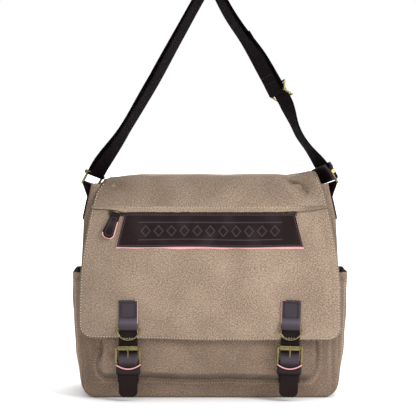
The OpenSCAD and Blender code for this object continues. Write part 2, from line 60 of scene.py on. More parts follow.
class Nodes:
    """A node tree of one material, with short calls to add and link nodes."""

    def __init__(self, name):
        self.material = bpy.data.materials.new(name)
        self.material.use_nodes = True
        self.tree = self.material.node_tree
        self.shader = self.tree.nodes["Principled BSDF"]

    def add(self, kind, inputs=None, **settings):
        node = self.tree.nodes.new(kind)
        for key, value in settings.items():
            setattr(node, key, value)
        for key, value in (inputs or {}).items():
            if isinstance(value, bpy.types.NodeSocket):
                self.tree.links.new(value, node.inputs[key])
            else:
                node.inputs[key].default_value = value
        return node

    def math(self, operation, a, b=0.0, clamp=False):
        return self.add("ShaderNodeMath", {0: a, 1: b}, operation=operation, use_clamp=clamp).outputs[0]

    def weigh(self, *pairs, offset=None):
        """The sum of value * weight over the pairs, and an offset."""
        total = None
        for value, weight in pairs:
            part = value if weight == 1 else self.math("MULTIPLY", value, weight)
            total = part if total is None else self.math("ADD", total, part)
        return total if offset is None else self.math("ADD", total, offset)

    def wave(self, value, pitch):
        return self.math("SINE", self.math("MULTIPLY", value, TURN / pitch))

    def less(self, value, amount):
        return self.math("SUBTRACT", value, amount)

    def shade(self):
        return self.add("ShaderNodeAttribute", attribute_name="shade").outputs["Fac"]

    def scaled(self, source, scale):
        return self.add("ShaderNodeMapping", {"Vector": source, "Scale": scale}).outputs[0]

    def noise(self, source, scale, detail=2.0, rough=0.5):
        made = self.add("ShaderNodeTexNoise",
                        {"Vector": source, "Scale": scale, "Detail": detail, "Roughness": rough})
        return made.outputs["Fac"]

    def mix(self, factor, a, b, blend_type="MIX"):
        node = self.add("ShaderNodeMix", data_type="RGBA", blend_type=blend_type)
        for socket, value in ((node.inputs[0], factor), (node.inputs[6], a), (node.inputs[7], b)):
            if isinstance(value, bpy.types.NodeSocket):
                self.tree.links.new(value, socket)
            else:
                socket.default_value = value if isinstance(value, float) else (*value, 1)
        return node.outputs[2]

    def set(self, **sockets):
        for key, value in sockets.items():
            socket = self.shader.inputs[key.replace("_", " ")]
            if isinstance(value, bpy.types.NodeSocket):
                self.tree.links.new(value, socket)
            else:
                socket.default_value = value

    def bump(self, height, distance, strength=1.0):
        node = self.add("ShaderNodeBump", {"Height": height, "Distance": distance, "Strength": strength})
        self.set(Normal=node.outputs[0])


def woven(name, dark, light, pitch, contrast, mottle=0.64, lift=1.0, painted_shade=True):
    """Canvas: plain weave with slubs, speckle and soft washed patches, darkened by painted shade from the
    shade attribute. UVs are in metres.
    """
    n = Nodes(name)
    uv = n.add("ShaderNodeTexCoord").outputs["UV"]
    slub_x = n.noise(n.scaled(uv, (330, 1150, 1)), 1.0, 3.0, 0.6)
    slub_y = n.noise(n.scaled(uv, (1150, 380, 1)), 1.0, 3.0, 0.6)
    speck = n.noise(uv, 950.0, 3.0, 0.75)
    soft = n.noise(uv, 17.0, 4.0, 0.55)
    parts = n.add("ShaderNodeSeparateXYZ", {0: uv})
    weave = n.math("MULTIPLY", n.wave(parts.outputs[0], pitch), n.wave(parts.outputs[1], pitch))
    fac = n.weigh((slub_x, 0.26), (slub_y, 0.26), (speck, 0.48))
    fac = n.weigh((n.less(fac, 0.51), contrast), offset=0.43)
    fac = n.weigh((fac, 1), (n.less(soft, 0.5), mottle))
    fac = n.math("ADD", fac, n.math("MULTIPLY", weave, 0.05), clamp=True)
    cloth = n.mix(fac, dark, light)
    # painted shade: where the shade attribute falls below 1 the cloth darkens towards a quarter of its dark
    # colour
    if painted_shade:
        cloth = n.mix(n.less(1.0, n.shade()), cloth, tuple(c * 0.25 for c in dark))
    n.set(Base_Color=cloth, Roughness=n.weigh((speck, 0.12), offset=0.82),
          Specular_IOR_Level=0.25, Sheen_Weight=0.05, Sheen_Roughness=0.6)
    n.bump(n.weigh((weave, 0.35), (slub_x, 1.2), (slub_y, 1)), 0.00035 * lift)
    return n.material


def hide(name, dark, light):
    """Leather: pores and creases, with a painted sheen, lighter and bluish grey, on bends, folds and raised
    edges through the shade attribute, which on the patch also gives random lighter patches.
    """
    n = Nodes(name)
    where = n.add("ShaderNodeTexCoord").outputs["Object"]
    grain = n.add("ShaderNodeTexVoronoi", {"Vector": where, "Scale": 900.0}).outputs["Distance"]
    crease = n.noise(where, 260.0, 4.0, 0.65)
    soft = n.noise(where, 38.0, 3.0, 0.5)
    fac = n.math("SUBTRACT", n.weigh((crease, 0.6), (soft, 0.7)), 0.2, clamp=True)
    # painted sheen: lighter bluish grey where the shade attribute is below 1, partly random mottle on the
    # patch
    sheen_and_mottle = n.math("SUBTRACT", 1.0, n.shade(), clamp=True)
    n.set(Base_Color=n.mix(sheen_and_mottle, n.mix(fac, dark, light), (0.115, 0.10, 0.125)),
          Roughness=n.weigh((crease, 0.3), offset=0.30), Specular_IOR_Level=0.10)
    n.bump(n.weigh((grain, 0.8), (crease, 1.2)), 0.00028)
    return n.material


def plain(name, dark, light, scale, rough, bump, metal=0.0):
    """A noise-mixed finish for edges, thread, board and metal, in object space."""
    n = Nodes(name)
    where = n.add("ShaderNodeTexCoord").outputs["Object"]
    fac = n.noise(where, scale, 4.0, 0.6)
    n.set(Base_Color=n.mix(fac, dark, light), Roughness=n.weigh((fac, 0.25), offset=rough - 0.12),
          Metallic=metal)
    n.bump(n.noise(where, scale * 2.2, 3.0, 0.6), bump)
    return n.material


def webbing_material():
    """Heavy webbing: raised ribs along it, crossed by the picks of the weave."""
    n = Nodes("webbing_cotton")
    uv = n.add("ShaderNodeTexCoord").outputs["UV"]
    parts = n.add("ShaderNodeSeparateXYZ", {0: uv})
    weave = n.math("MULTIPLY", n.wave(parts.outputs[1], 0.0021), n.wave(parts.outputs[0], 0.0017))
    fuzz = n.noise(uv, 900.0, 3.0, 0.7)
    soft = n.noise(uv, 30.0, 2.0, 0.5)
    fac = n.weigh((weave, 0.25), (fuzz, 0.7))
    fac = n.math("ADD", fac, n.math("MULTIPLY", n.less(soft, 0.5), 0.5), clamp=True)
    n.set(Base_Color=n.mix(fac, (0.003, 0.0018, 0.0024), (0.011, 0.0066, 0.0084)),
          Roughness=n.weigh((fuzz, 0.2), offset=0.7), Specular_IOR_Level=0.02)
    n.bump(n.weigh((weave, 0.6), (fuzz, 1)), 0.0004)
    return n.material


CANVAS = woven("canvas_washed", (0.160, 0.108, 0.074), (0.565, 0.428, 0.318), 0.0009, 6.6)
CANVAS_LOW = woven("canvas_body", (0.105, 0.069, 0.048), (0.41, 0.293, 0.212), 0.0009, 6.0)
LINING = woven("lining_twill", (0.05, 0.04, 0.036), (0.12, 0.10, 0.09), 0.0007, 1.2, lift=0.5, painted_shade=False)
LOW_CLOTH = [CANVAS_LOW, LINING, CANVAS_LOW]
TOP_CLOTH = [CANVAS, LINING, CANVAS]
LEATHER = hide("leather_dark", (0.006, 0.0022, 0.0026), (0.020, 0.0090, 0.0096))
PINK = plain("edge_pink_raw", (0.62, 0.27, 0.27), (0.86, 0.46, 0.45), 420, 0.8, 0.0002)
CREAM = plain("thread_cream", (0.46, 0.37, 0.27), (0.64, 0.54, 0.41), 700, 0.8, 0.0001)
BLACK = plain("thread_black", (0.002, 0.002, 0.003), (0.006, 0.005, 0.006), 700, 0.8, 0.0001)
TAN = plain("thread_tan", (0.34, 0.26, 0.19), (0.48, 0.38, 0.29), 700, 0.8, 0.0001)
BROWN = plain("thread_brown", (0.055, 0.04, 0.04), (0.13, 0.10, 0.10), 700, 0.75, 0.0001)
WEB = webbing_material()
BRASS = plain("brass_antique", (0.05, 0.042, 0.013), (0.36, 0.30, 0.14), 110, 0.26, 0.00006, metal=1.0)
TAPE = plain("zip_tape_dark", (0.012, 0.010, 0.010), (0.035, 0.03, 0.03), 900, 0.85, 0.0002)
EDGES = [LEATHER, LEATHER, PINK]
DARK = [LEATHER] * 3
BOARD = plain("board_fibre", (0.10, 0.08, 0.06), (0.20, 0.16, 0.12), 500, 0.85, 0.0002)

# ---------------------------------------------------------------- geometry tools


def points(x, y, z):
    """Broadcasts three coordinates, in mm, into one array of points."""
    return np.stack(np.broadcast_arrays(np.asarray(x, float), y, z), -1)


def unit(v):
    return v / np.maximum(np.linalg.norm(v, axis=-1, keepdims=True), 1e-9)


def smooth(t):
    t = np.clip(t, 0, 1)
    return t * t * (3 - 2 * t)


def field(a, b, size, seed):
    """A smooth random field, about -1 to 1, whose features are about size mm."""
    g = np.random.default_rng(seed)
    total = 0
    for turn, stretch, phase in zip(g.uniform(0, TURN, 10), g.uniform(0.6, 1.5, 10), g.uniform(0, TURN, 10)):
        k = TURN / size * stretch
        total = total + np.sin(k * (a * cos(turn) + b * sin(turn)) + phase)
    return total / 4


def bell(t, width, power=2):
    """1 where t is 0, falling off over width."""
    return np.exp(-(t / width) ** power)


def crowded(count, power):
    """Steps from -1 to 1 that close up towards both ends."""
    s = np.linspace(-1, 1, count)
    return np.sign(s) * (1 - (1 - np.abs(s)) ** power)


def spot(a, b, at, size):
    return np.exp(-(((a - at[0]) / size[0]) ** 2 + ((b - at[1]) / size[1]) ** 2))


def valley(a, b, start, end, width):
    """1 on the line from start to end, falling off over width, and past its ends."""
    s, e = np.array(start, float), np.array(end, float)
    d = e - s
    t = np.clip(((a - s[0]) * d[0] + (b - s[1]) * d[1]) / (d @ d), 0, 1)
    gap = np.hypot(a - s[0] - t * d[0], b - s[1] - t * d[1])
    return bell(gap, width) * (0.35 + 0.65 * np.sin(pi * np.clip(t, 0.08, 0.92)))


def folds(a, b, *rows):
    """The sum of valleys, each given as (height, start, end, width)."""
    return sum(height * valley(a, b, start, end, width) for height, start, end, width in rows)


def roll(d, r):
    """How far a surface falls back at distance d inside a rounded edge of radius r."""
    inside = np.clip(d, 0, r)
    return r - np.sqrt(np.maximum(r * r - (r - inside) ** 2, 0))


def curve(knots, count):
    """A smooth line through knots, resampled evenly."""
    k = np.array(knots, float)
    k = np.vstack([2 * k[0] - k[1], k, 2 * k[-1] - k[-2]])
    out = []
    for p0, p1, p2, p3 in zip(k, k[1:], k[2:], k[3:]):
        t = np.linspace(0, 1, 24, endpoint=False)[:, None]
        out.append(0.5 * (2 * p1 + (p2 - p0) * t + (2 * p0 - 5 * p1 + 4 * p2 - p3) * t ** 2
                          + (3 * p1 - p0 - 3 * p2 + p3) * t ** 3))
    line = np.vstack([*out, k[-2][None]])
    return resample(line, count)


def lengths(path):
    """How far along a line of points each point lies."""
    return np.r_[0, np.cumsum(np.linalg.norm(np.diff(path, axis=0), axis=1))]


def resample(line, count):
    run = lengths(line)
    at = np.linspace(0, run[-1], count)
    return np.stack([np.interp(at, run, line[:, c]) for c in range(line.shape[1])], -1)


def normals(grid, out, wrap=False):
    across = np.gradient(grid, axis=1)
    along = (np.roll(grid, -1, 0) - np.roll(grid, 1, 0)) if wrap else np.gradient(grid, axis=0)
    n = unit(np.cross(across, along))
    return n if (n * out).sum() >= 0 else -n


def build(name, verts, faces, mats, which=None, uv=None, shade=None):
    mesh = bpy.data.meshes.new(name)
    mesh.from_pydata((np.asarray(verts) * MM).tolist(), [], [list(f) for f in faces])
    for m in mats:
        mesh.materials.append(m)
    if which is not None:
        mesh.polygons.foreach_set("material_index", np.asarray(which, np.int32))
    mesh.polygons.foreach_set("use_smooth", np.ones(len(mesh.polygons), bool))
    if uv is not None:
        corner = np.zeros(len(mesh.loops), np.int32)
        mesh.loops.foreach_get("vertex_index", corner)
        mesh.uv_layers.new(name="cloth").data.foreach_set("uv", (np.asarray(uv) * MM)[corner].ravel())
    tone = mesh.attributes.new("shade", "FLOAT", "POINT")
    values = np.ones(len(mesh.vertices)) if shade is None else np.asarray(shade, float)
    tone.data.foreach_set("value", values)
    mesh.update()
    obj = bpy.data.objects.new(name, mesh)
    bpy.context.scene.collection.objects.link(obj)
    return obj


def slab(name, top, t, mats, out, wrap=False, shade=None, uv=None, edge_shade=1.0, edge_at=None):
    """A closed sheet of thickness t below the grid of points top, with rounded edges.
    mats are for its face, its back and its edge; edge_at(points) says where the edge has its own."""
    n, m = top.shape[:2]
    normal = normals(top, np.asarray(out, float), wrap)
    low = top - normal * t
    top = top.copy()
    if uv is None:
        u = np.cumsum(np.r_["1", np.zeros((n, 1)), np.linalg.norm(np.diff(top, axis=1), axis=2)], axis=1)
        v = np.cumsum(np.r_[np.zeros((1, m)), np.linalg.norm(np.diff(top, axis=0), axis=2)], axis=0)
        mid = slice(m // 2, m // 2 + 1)
        uv = np.stack(np.broadcast_arrays(u - u[:, mid], v[:, mid]), -1)
    tone = np.ones((n, m)) if shade is None else np.broadcast_to(shade, (n, m))
    index = np.arange(n * m).reshape(n, m)
    rows = np.vstack([index, index[:1]]) if wrap else index
    quads = np.stack([rows[:-1, :-1], rows[:-1, 1:], rows[1:, 1:], rows[1:, :-1]], -1).reshape(-1, 4)
    if wrap:
        loops = [index[:, 0], index[::-1, -1]]
        pull = [top[:, 0] - top[:, 1], (top[:, -1] - top[:, -2])[::-1]]
    else:
        loops = [np.r_[index[0, :-1], index[:-1, -1], index[-1, :0:-1], index[:0:-1, 0]]]
        away = np.zeros_like(top)
        away[0] += unit(top[0] - top[1])
        away[-1] += unit(top[-1] - top[-2])
        away[:, 0] += unit(top[:, 0] - top[:, 1])
        away[:, -1] += unit(top[:, -1] - top[:, -2])
        pull = [away.reshape(-1, 3)[loops[0]]]
    flat_top, flat_low = top.reshape(-1, 3), low.reshape(-1, 3)
    flat_n = normal.reshape(-1, 3)
    verts = [flat_top, flat_low]
    faces = [quads, quads[:, ::-1] + n * m]
    which = [0] * len(quads) + [min(1, len(mats) - 1)] * len(quads)
    base = 2 * n * m
    uvs = [uv.reshape(-1, 2)] * 2
    tones = [tone.ravel()] * 2
    for loop, direction in zip(loops, pull):
        middle = (flat_top[loop] + flat_low[loop]) / 2 + unit(direction) * 0.42 * t
        flat_top[loop] -= flat_n[loop] * 0.2 * t
        flat_low[loop] += flat_n[loop] * 0.2 * t
        ring = base + np.arange(len(loop))
        nxt = np.roll(np.arange(len(loop)), -1)
        faces.append(np.stack([loop[nxt], loop, ring, ring[nxt]], -1))
        faces.append(np.stack([ring[nxt], ring, loop + n * m, loop[nxt] + n * m], -1))
        painted = np.ones(len(loop), bool) if edge_at is None else np.asarray(edge_at(middle))
        which += list(np.where(painted, len(mats) - 1, 0)) * 2
        verts.append(middle)
        uvs.append(uv.reshape(-1, 2)[loop])
        tones.append(tone.ravel()[loop] * edge_shade)
        base += len(loop)
    facing = np.cross(top[0, 1] - top[0, 0], (top[1, 0] - top[0, 0])) @ normal[0, 0]
    faces = np.vstack(faces)
    if facing < 0:
        faces = faces[:, ::-1]
    return build(name, np.vstack(verts), faces, mats, which, np.vstack(uvs), np.concatenate(tones))


def place(obj, body, replaces=(), blend=None):
    """Rides a piece on a body, or with blend bakes its transform where it stands, and hides the CAD parts
    that it replaces.
    """
    if blend:
        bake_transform(obj)
    else:
        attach(obj, body)
    if replaces:
        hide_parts(*replaces)
    return obj


threads = {}


def stitch(path, normal, key, pitch=3.3, fill=0.72, r=0.42, proud=0.2):
    """Adds a row of stitches along a line of points. key is (body, thread colour)."""
    path, normal = np.asarray(path, float), np.asarray(normal, float)
    run = lengths(path)
    count = max(2, int(run[-1] / pitch))
    step = run[-1] / count
    at = (np.arange(count) + 0.5) * step

    def take(values, where):
        return np.stack([np.interp(where, run, values[:, c]) for c in range(3)], -1)

    rings = np.array([-1, -0.72, 0, 0.72, 1])
    where = at[:, None] + rings[None] * step * fill / 2
    centre = take(path, where.ravel()).reshape(count, 5, 3)
    up = unit(take(normal, where.ravel())).reshape(count, 5, 3)
    ahead = unit(np.gradient(centre, axis=1))
    side = unit(np.cross(ahead, up))
    centre = centre + up * (proud - (proud + 0.5) * rings[None, :, None] ** 4)
    girth = r * np.array([0.35, 0.95, 1.0, 0.95, 0.35])[None, :, None, None]
    turn = np.arange(6) * TURN / 6
    around = (side[:, :, None] * np.cos(turn)[None, None, :, None]
              + up[:, :, None] * np.sin(turn)[None, None, :, None])
    ring_points = centre[:, :, None] + around * girth
    store = threads.setdefault(key, [[], [], 0])
    verts = ring_points.reshape(-1, 3)
    k, c = np.indices((4, 6)).reshape(2, -1)
    d = (c + 1) % 6
    first = (np.arange(count) * 30)[:, None, None] + store[2]
    faces = np.stack([k * 6 + c, k * 6 + d, (k + 1) * 6 + d, (k + 1) * 6 + c], -1) + first
    caps = np.array([[5, 4, 3, 2, 1, 0], [24, 25, 26, 27, 28, 29]]) + first
    store[0].append(verts)
    store[1].extend(faces.reshape(-1, 4).tolist())
    store[1].extend(caps.reshape(-1, 6).tolist())
    store[2] += len(verts)


def sample(surface, a, b, out, lift=0.0):
    """Points and normals on a surface function at parameters a and b."""
    a, b = np.broadcast_arrays(np.asarray(a, float), np.asarray(b, float))
    p = surface(a, b)
    n = unit(np.cross(surface(a + 0.5, b) - p, surface(a, b + 0.5) - p))
    if (n * np.asarray(out, float)).sum() < 0:
        n = -n
    return p + n * lift, n


def line(*knots, step=1.5):
    """A dense broken line through parameter pairs."""
    k = np.array(knots, float)
    out = []
    for s, e in zip(k, k[1:]):
        count = max(2, int(np.hypot(*(e - s)) / step))
        out.append(s + (e - s) * np.linspace(0, 1, count, endpoint=False)[:, None])
    return np.vstack([*out, k[-1:]]).T


# ---------------------------------------------------------------- bag body

HALF = 180.0      # half width of the base
CORNER = 21.0     # radius of the lower corners
RIM, BACK_Z = 298.0, 303.0
FOLD_Z = 305.2    # height of the flap's front crease
CLOTH_T, HIDE_T, WEB_T = 1.5, 1.5, 1.6    # thickness of the body's cloth, leather and webbing
SIDES = {-1: "left", 1: "right"}
FRONT_OUT = (0, -1, 0)


def front_y(z):
    return -58 + 22 * z / FOLD_Z


def back_y(z):
    return 57 - 11 * z / BACK_Z


def half_w(z):
    straight = np.interp(z, [0, 190, 248, BACK_Z], [HALF, HALF, 177, 165])
    arc = HALF - CORNER + np.sqrt(np.maximum(CORNER ** 2 - np.maximum(CORNER - z, 0) ** 2, 0))
    return np.where(z < CORNER, arc, straight)


def edge_gap(x, z):
    """Distance inside the body's outline, with its rounded lower corners."""
    half = half_w(np.maximum(z, CORNER))
    ax, az = np.abs(x) - (half - CORNER), z - CORNER
    corner = CORNER - np.hypot(np.maximum(ax, 0), np.minimum(az, 0))
    return np.where((ax > 0) & (az < 0), corner, np.minimum(half - np.abs(x), z))


def front_wall(x, z):
    gap = edge_gap(x, z)
    y = front_y(z) + roll(gap, 3.0)
    y = y - 0.6 * field(x, z, 70, 21) * smooth(gap / 12)
    y = y + folds(x, z, (1.6, (171, 14), (170, 84), 2.6), (-0.9, (166, 16), (165, 80), 3.0),
                  (1.3, (-168, 30), (-171, 76), 3.0), (0.8, (-150, 12), (150, 9), 2.5))
    return points(x, y, z)


def back_wall(x, z):
    gap = edge_gap(x, z)
    bulge = 5.5 * np.sin(pi * np.clip(z / 290, 0, 1)) * (1 - (np.abs(x) / 185) ** 4)
    y = back_y(z) - roll(gap, 4.5) + bulge
    y = y + 1.3 * field(x, z, 110, 31) * smooth(gap / 25) + 0.4 * field(x, z, 32, 32) * smooth(gap / 12)
    y = y - folds(x, z, (1.8, (-150, 262), (-92, 214), 5), (1.5, (152, 258), (104, 206), 5),
                  (1.5, (-168, 40), (-120, 62), 5), (1.2, (165, 52), (112, 40), 5))
    return points(x, y, z - 9 * smooth((np.abs(x) - 136) / 26) * smooth((z - 270) / 33))


def outline(top):
    """Line of the gusset in (x, z), from the left top round the base to the right top."""
    arc = np.linspace(0, pi / 2, 14)
    left = [(-half_w(z), z) for z in np.linspace(top, CORNER, 60)[:-1]]
    turn = [(-HALF + CORNER - CORNER * cos(a), CORNER - CORNER * sin(a)) for a in arc]
    base = [(x, 0.0) for x in np.linspace(CORNER - HALF, HALF - CORNER, 70)[1:-1]]
    mirror = [(-x, z) for x, z in (left + turn)[::-1]]
    return np.array(left + turn + base + mirror, float)


def inward_of(shape):
    d = np.gradient(shape, axis=0)
    return unit(np.stack([-d[:, 1], d[:, 0]], -1))


def gusset_top(y):
    return 299 - 19 * smooth((27 - np.abs(y)) / 9) - 6 * smooth((y - 20) / 20)


def gusset_grid():
    across = np.r_[np.linspace(-1, -0.88, 5), np.linspace(-0.84, 0.84, 36), np.linspace(0.88, 1, 5)]
    rows = []
    for b in across:
        shape = resample(outline(float(gusset_top(b * 46))), 330)
        x, z = shape[:, 0], shape[:, 1]
        y0, y1 = front_y(z) + 1.0, back_y(z) - 1.0
        y = (y0 + y1) / 2 + b * (y1 - y0) / 2
        inward = inward_of(shape)
        gap = (1 - abs(b)) * (y1 - y0) / 2
        sag = roll(gap, 4.5) + 2.6 * cos(b * pi / 2) * smooth((z - 150) / 90)
        sag = sag + 0.7 * field(y, z, 60, 41) * smooth(gap / 14) * smooth((z - 6) / 20)
        sag = np.where(z < 2, np.maximum(sag, 0), sag)
        x = x + inward[:, 0] * sag
        z = np.maximum(z + inward[:, 1] * sag, 0.02)
        rows.append(points(x, y, z))
    return np.stack(rows, 1)


def wall(name, surface, top, out, node):
    """The front or the back wall, from the base up to top."""
    z = np.r_[np.linspace(0, 8, 10)[:-1], np.linspace(8, top, 110)][:, None]
    x = crowded(151, 1.15) * half_w(z)
    place(slab(name, surface(x, z), CLOTH_T, LOW_CLOTH, out, shade=body_shade(x, z)),
          "bag", [node])


def body_shade(x, z):
    # painted shade: darker along the seams, near the base and to the left, a little lighter to the right; the
    # field adds random tone
    gap = edge_gap(x, z)
    tone = 1 - 0.35 * bell(gap, 2.2) - 0.05 * bell(z, 12)
    tone = tone - 0.16 * smooth((-120 - x) / 60) + 0.04 * smooth(x / 150)
    return np.clip(tone + 0.05 * field(x, z, 46, 51), 0, 1)


wall("front_wall", front_wall, RIM, FRONT_OUT, "front_panel")
wall("back_wall", back_wall, BACK_Z, (0, 1, 0), "back_panel")
gusset = gusset_grid()
centre = np.array([0, 0, 150.0])
gusset_gap = np.minimum(np.arange(46), 45 - np.arange(46))[None] / 6
# painted shade: the gusset darkens towards its two sewn edges
place(slab("gusset_strip", gusset, CLOTH_T, LOW_CLOTH, gusset - centre,
           shade=np.clip(0.68 + 0.32 * gusset_gap, 0, 1)),
      "bag", ["gusset"])
for column in (5, 40):
    n = normals(gusset, gusset - centre)[:, column]
    stitch(gusset[:, column], n, ("bag", "cream"), pitch=3.6)
shape = resample(outline(290), 700)
shape = shape + inward_of(shape) * 6.5
p, n = sample(back_wall, shape[:, 0], shape[:, 1], (0, 1, 0))
stitch(p, n, ("bag", "cream"), pitch=3.6)


def tub(name, inset, z0, z1, t, mats, floor, node):
    """A closed ring of cloth inside the bag, with an optional floor."""
    zs = np.linspace(z0, z1, 24)
    turn = np.linspace(0, TURN, 4001)
    c, s = np.cos(turn), np.sin(turn)
    power = 0.16
    unit_ring = np.stack([np.sign(c) * np.abs(c) ** power, np.sign(s) * np.abs(s) ** power], -1)
    unit_ring = resample(unit_ring * [160, 45], 221)[:-1] / [160, 45]
    rows = []
    for z in zs:
        hx = half_w(max(z, CORNER)) - inset
        y0, y1 = front_y(z) + inset, back_y(z) - inset
        x = hx * unit_ring[:, 0]
        y = (y0 + y1) / 2 + (y1 - y0) / 2 * unit_ring[:, 1]
        dip = np.where(np.abs(x) > hx - 6, smooth((27 - np.abs(y)) / 9), 0)
        top = z - dip * 22 * smooth((z - 262) / 30)
        swell = 0.5 * field(x + y * 1.3, z, 60, 61)
        rows.append(points(x * (1 + swell / 300), y + swell * 0.4, top))
    grid = np.stack(rows[::-1], 0)
    closed = np.concatenate([grid, grid[:, :1]], 1)
    if floor:
        middle = np.array([0, -0.5, z0])
        shrink = np.linspace(1, 0.02, 12)[1:, None, None]
        closed = np.concatenate([closed, middle + (closed[-1:] - middle) * shrink], 0)
    made = slab(name, closed, t, mats, np.array([0, 0, 150.0]) - closed)
    return place(made, "bag", [node])


tub("lining_bag", 7.2, 5.6, 262, 0.8, [LINING], True, "lining")
tub("mouth_band", 5.6, 258, 294, 1.2, LOW_CLOTH, False, "mouth_facing")

board = np.stack([points(np.linspace(-154, 154, 60), y, 4.1) for y in np.linspace(-51, 50, 24)], 0)
board = slab("stiffener", board, 2.2, [BOARD], (0, 0, 1))
place(board, "bag", ["base_board"])

# ---------------------------------------------------------------- front pocket


def pocket_y(z):
    return -52.5 - 22.5 * (190 - z) / 154


def pocket_half(z, side):
    """The pocket's side edges wander: a soft fold at the left, straighter at the right."""
    if side < 0:
        return np.interp(z, [30, 45, 57, 68, 80, 95, 190], [152, 155, 152, 148, 150, 151, 150])
    return np.interp(z, [30, 46, 60, 72, 90, 190], [145, 146, 147.5, 147, 147, 150])


def pocket_face(x, z):
    gap = np.minimum(150 - np.abs(x), z - 34)
    y = pocket_y(z) + roll(gap, 5.0) * 1.2
    y = y - 1.5 * np.sin(pi * np.clip((z - 36) / 154, 0, 1)) * (1 - (x / 150) ** 2)
    y = y - 0.9 * field(x, z, 58, 71) * smooth(gap / 14) - 0.3 * field(x, z, 19, 72) * smooth(gap / 8)
    y = y + folds(x, z, (2.2, (-150, 72), (-120, 60), 4.5), (-1.4, (-150, 58), (-124, 50), 4),
                  (1.3, (-40, 84), (-22, 40), 6), (1.2, (52, 84), (34, 44), 6))
    return points(x, y, z)


def face_grid():
    z = np.r_[36 + 12 * (1 - np.cos(np.linspace(0, pi / 2, 12)))[:-1], np.linspace(48, 190, 74)][:, None]
    s = np.linspace(-1, 1, 141)[None]
    cut = 12 - np.sqrt(np.maximum(144 - np.maximum(48 - z, 0) ** 2, 0))
    left, right = pocket_half(z, -1) - cut, pocket_half(z, 1) - cut
    x = np.where(s < 0, s * left, s * right)
    droop = 1.6 * field(x, 0, 120, 73) * bell(z - 36, 8)
    return pocket_face(x, z) + points(0, 0, droop)


face = face_grid()
# painted shade: the pocket's face darkens at its side edges and along the crease at its bottom
tone = np.clip(1 - 0.3 * np.exp(-np.minimum(np.arange(141), 140 - np.arange(141)) / 0.8)[None]
               - 0.65 * np.exp(-np.arange(85) / 1.4)[:, None], 0, 1)
place(slab("pocket_front", face, CLOTH_T, LOW_CLOTH, FRONT_OUT, shade=tone),
      "bag", ["pocket_panel"])
rim_line = np.concatenate([face[:0:-1, 0], face[0, :-1], face[:, -1]])


def pocket_wall_grid():
    """From the face's edge back to the bag's front, then out as a stitched flange."""
    edge = resample(rim_line, 420)
    d = np.gradient(edge, axis=0)
    away = unit(np.stack([d[:, 2], -d[:, 0]], -1))
    away = np.where((away * (edge[:, [0, 2]] - np.array([0, 110]))).sum(-1, keepdims=True) < 0, -away, away)
    rows = []
    for k in np.linspace(0, 1, 12):
        drop = np.clip(-away[:, 1], 0, 1)
        x = edge[:, 0] + away[:, 0] * (0.3 + 0.4 * k)
        z = edge[:, 2] - drop * (0.3 + 9 * k)
        y0, y1 = edge[:, 1] + 0.8, front_y(z) - 1.2
        y = y0 + (y1 - y0) * k
        crumple = (0.2 + 0.9 * drop) * sin(pi * k) * field(edge[:, 0] + y, edge[:, 2], 34, 81)
        rows.append(points(x + away[:, 0] * crumple, y, z + away[:, 1] * crumple))
    foot = rows[-1]
    for k in np.linspace(0.06, 1, 7):
        x = foot[:, 0] + away[:, 0] * 8.5 * k
        z = foot[:, 2] + away[:, 1] * 8.5 * k
        rows.append(points(x, front_wall(x, z)[:, 1] - 1.25, z))
    return np.stack(rows, 1)


band = pocket_wall_grid()
# painted shade on the pocket's band: its wall darkens away from the face, most along the sides, and the
# flange comes back to full brightness
below = np.clip((60 - band[:, :1, 2]) / 20, 0, 1)
band_tone = (np.r_[0.75, np.linspace(0.8, 0.4, 11), np.linspace(0.9, 1.0, 7)][None] * below
             + np.r_[0.4, np.linspace(0.3, 0.25, 11), np.linspace(0.85, 1.0, 7)][None] * (1 - below))
place(slab("pocket_band", band, 1.2, LOW_CLOTH, band - np.array([0, -30, 120.0]), shade=band_tone),
      "bag", ["pocket_gusset"])
stitch(band[:, 16], np.tile([0, -1.0, 0.1], (len(band), 1)), ("bag", "tan"), pitch=3.9, fill=0.55)

# ---------------------------------------------------------------- side pockets


def side_pocket(side):
    rows = []
    around = np.linspace(0, 1, 70)
    for z in np.linspace(15, 174, 62):
        deep = np.interp(z, [15, 24, 60, 130, 174], [0.1, 2.2, 7.2, 11.4, 13.0])
        y = -45 + 90 * around
        fill = np.clip(np.minimum(around, 1 - around) * 9.0, 0, 1)
        x = 180.4 + deep * np.sqrt(1 - (1 - fill) ** 2)
        puff = fill * (1.1 * np.sin(pi * (z - 15) / 159) + 0.7 * field(y, z, 46, 91 + side))
        x = x + puff - 1.2 * valley(y, z, (-30, 118), (16, 96), 5) * fill
        rows.append(points(side * x, y, z + 0.8 * field(y, 0, 60, 95) * (z > 160)))
    grid = np.stack(rows, 0)
    # painted shade: darker at the bottom row, where the pouch meets the body, and along the stitched hem
    hem = np.interp(np.arange(62), [0, 2, 55, 57, 61], [0.55, 1, 1, 0.75, 1])[:, None]
    place(slab("side_pouch_" + SIDES[side], grid, CLOTH_T, LOW_CLOTH, (side, 0, 0), shade=hem),
          "bag", ["side_pocket_" + SIDES[side]])
    n = normals(grid, (side, 0, 0))
    stitch(grid[57, 2:-2], n[57, 2:-2], ("bag", "cream"), pitch=3.4)
    for column in (2, -3):
        stitch(grid[:57, column], n[:57, column], ("bag", "cream"), pitch=3.4)


for side in SIDES:
    side_pocket(side)

# ---------------------------------------------------------------- flap

TILT = radians(10)
FOLD_R = 5.5
FOLD_Y = -33.03
CROWN_Z = 306.8
ARC = FOLD_R * radians(80)
ARC_V = 3.32
REAR_Y = 42.5
REAR_Q = FOLD_Y - REAR_Y
REAR_END = REAR_Q - FOLD_R * pi / 2
ZIP_V, ZIP_ENDS = 47.2, (-143, 124)
WELT_V = 37.5
HEM, HEM_R = 225.0, 17
HEM_TOP = HEM - HEM_R
FLAP_V = [0, 20, 46, 78, 115, 150, 208, 225]
FLAP_W = [147.5, 159.5, 166, 172, 178, 181, 181.5, 181]


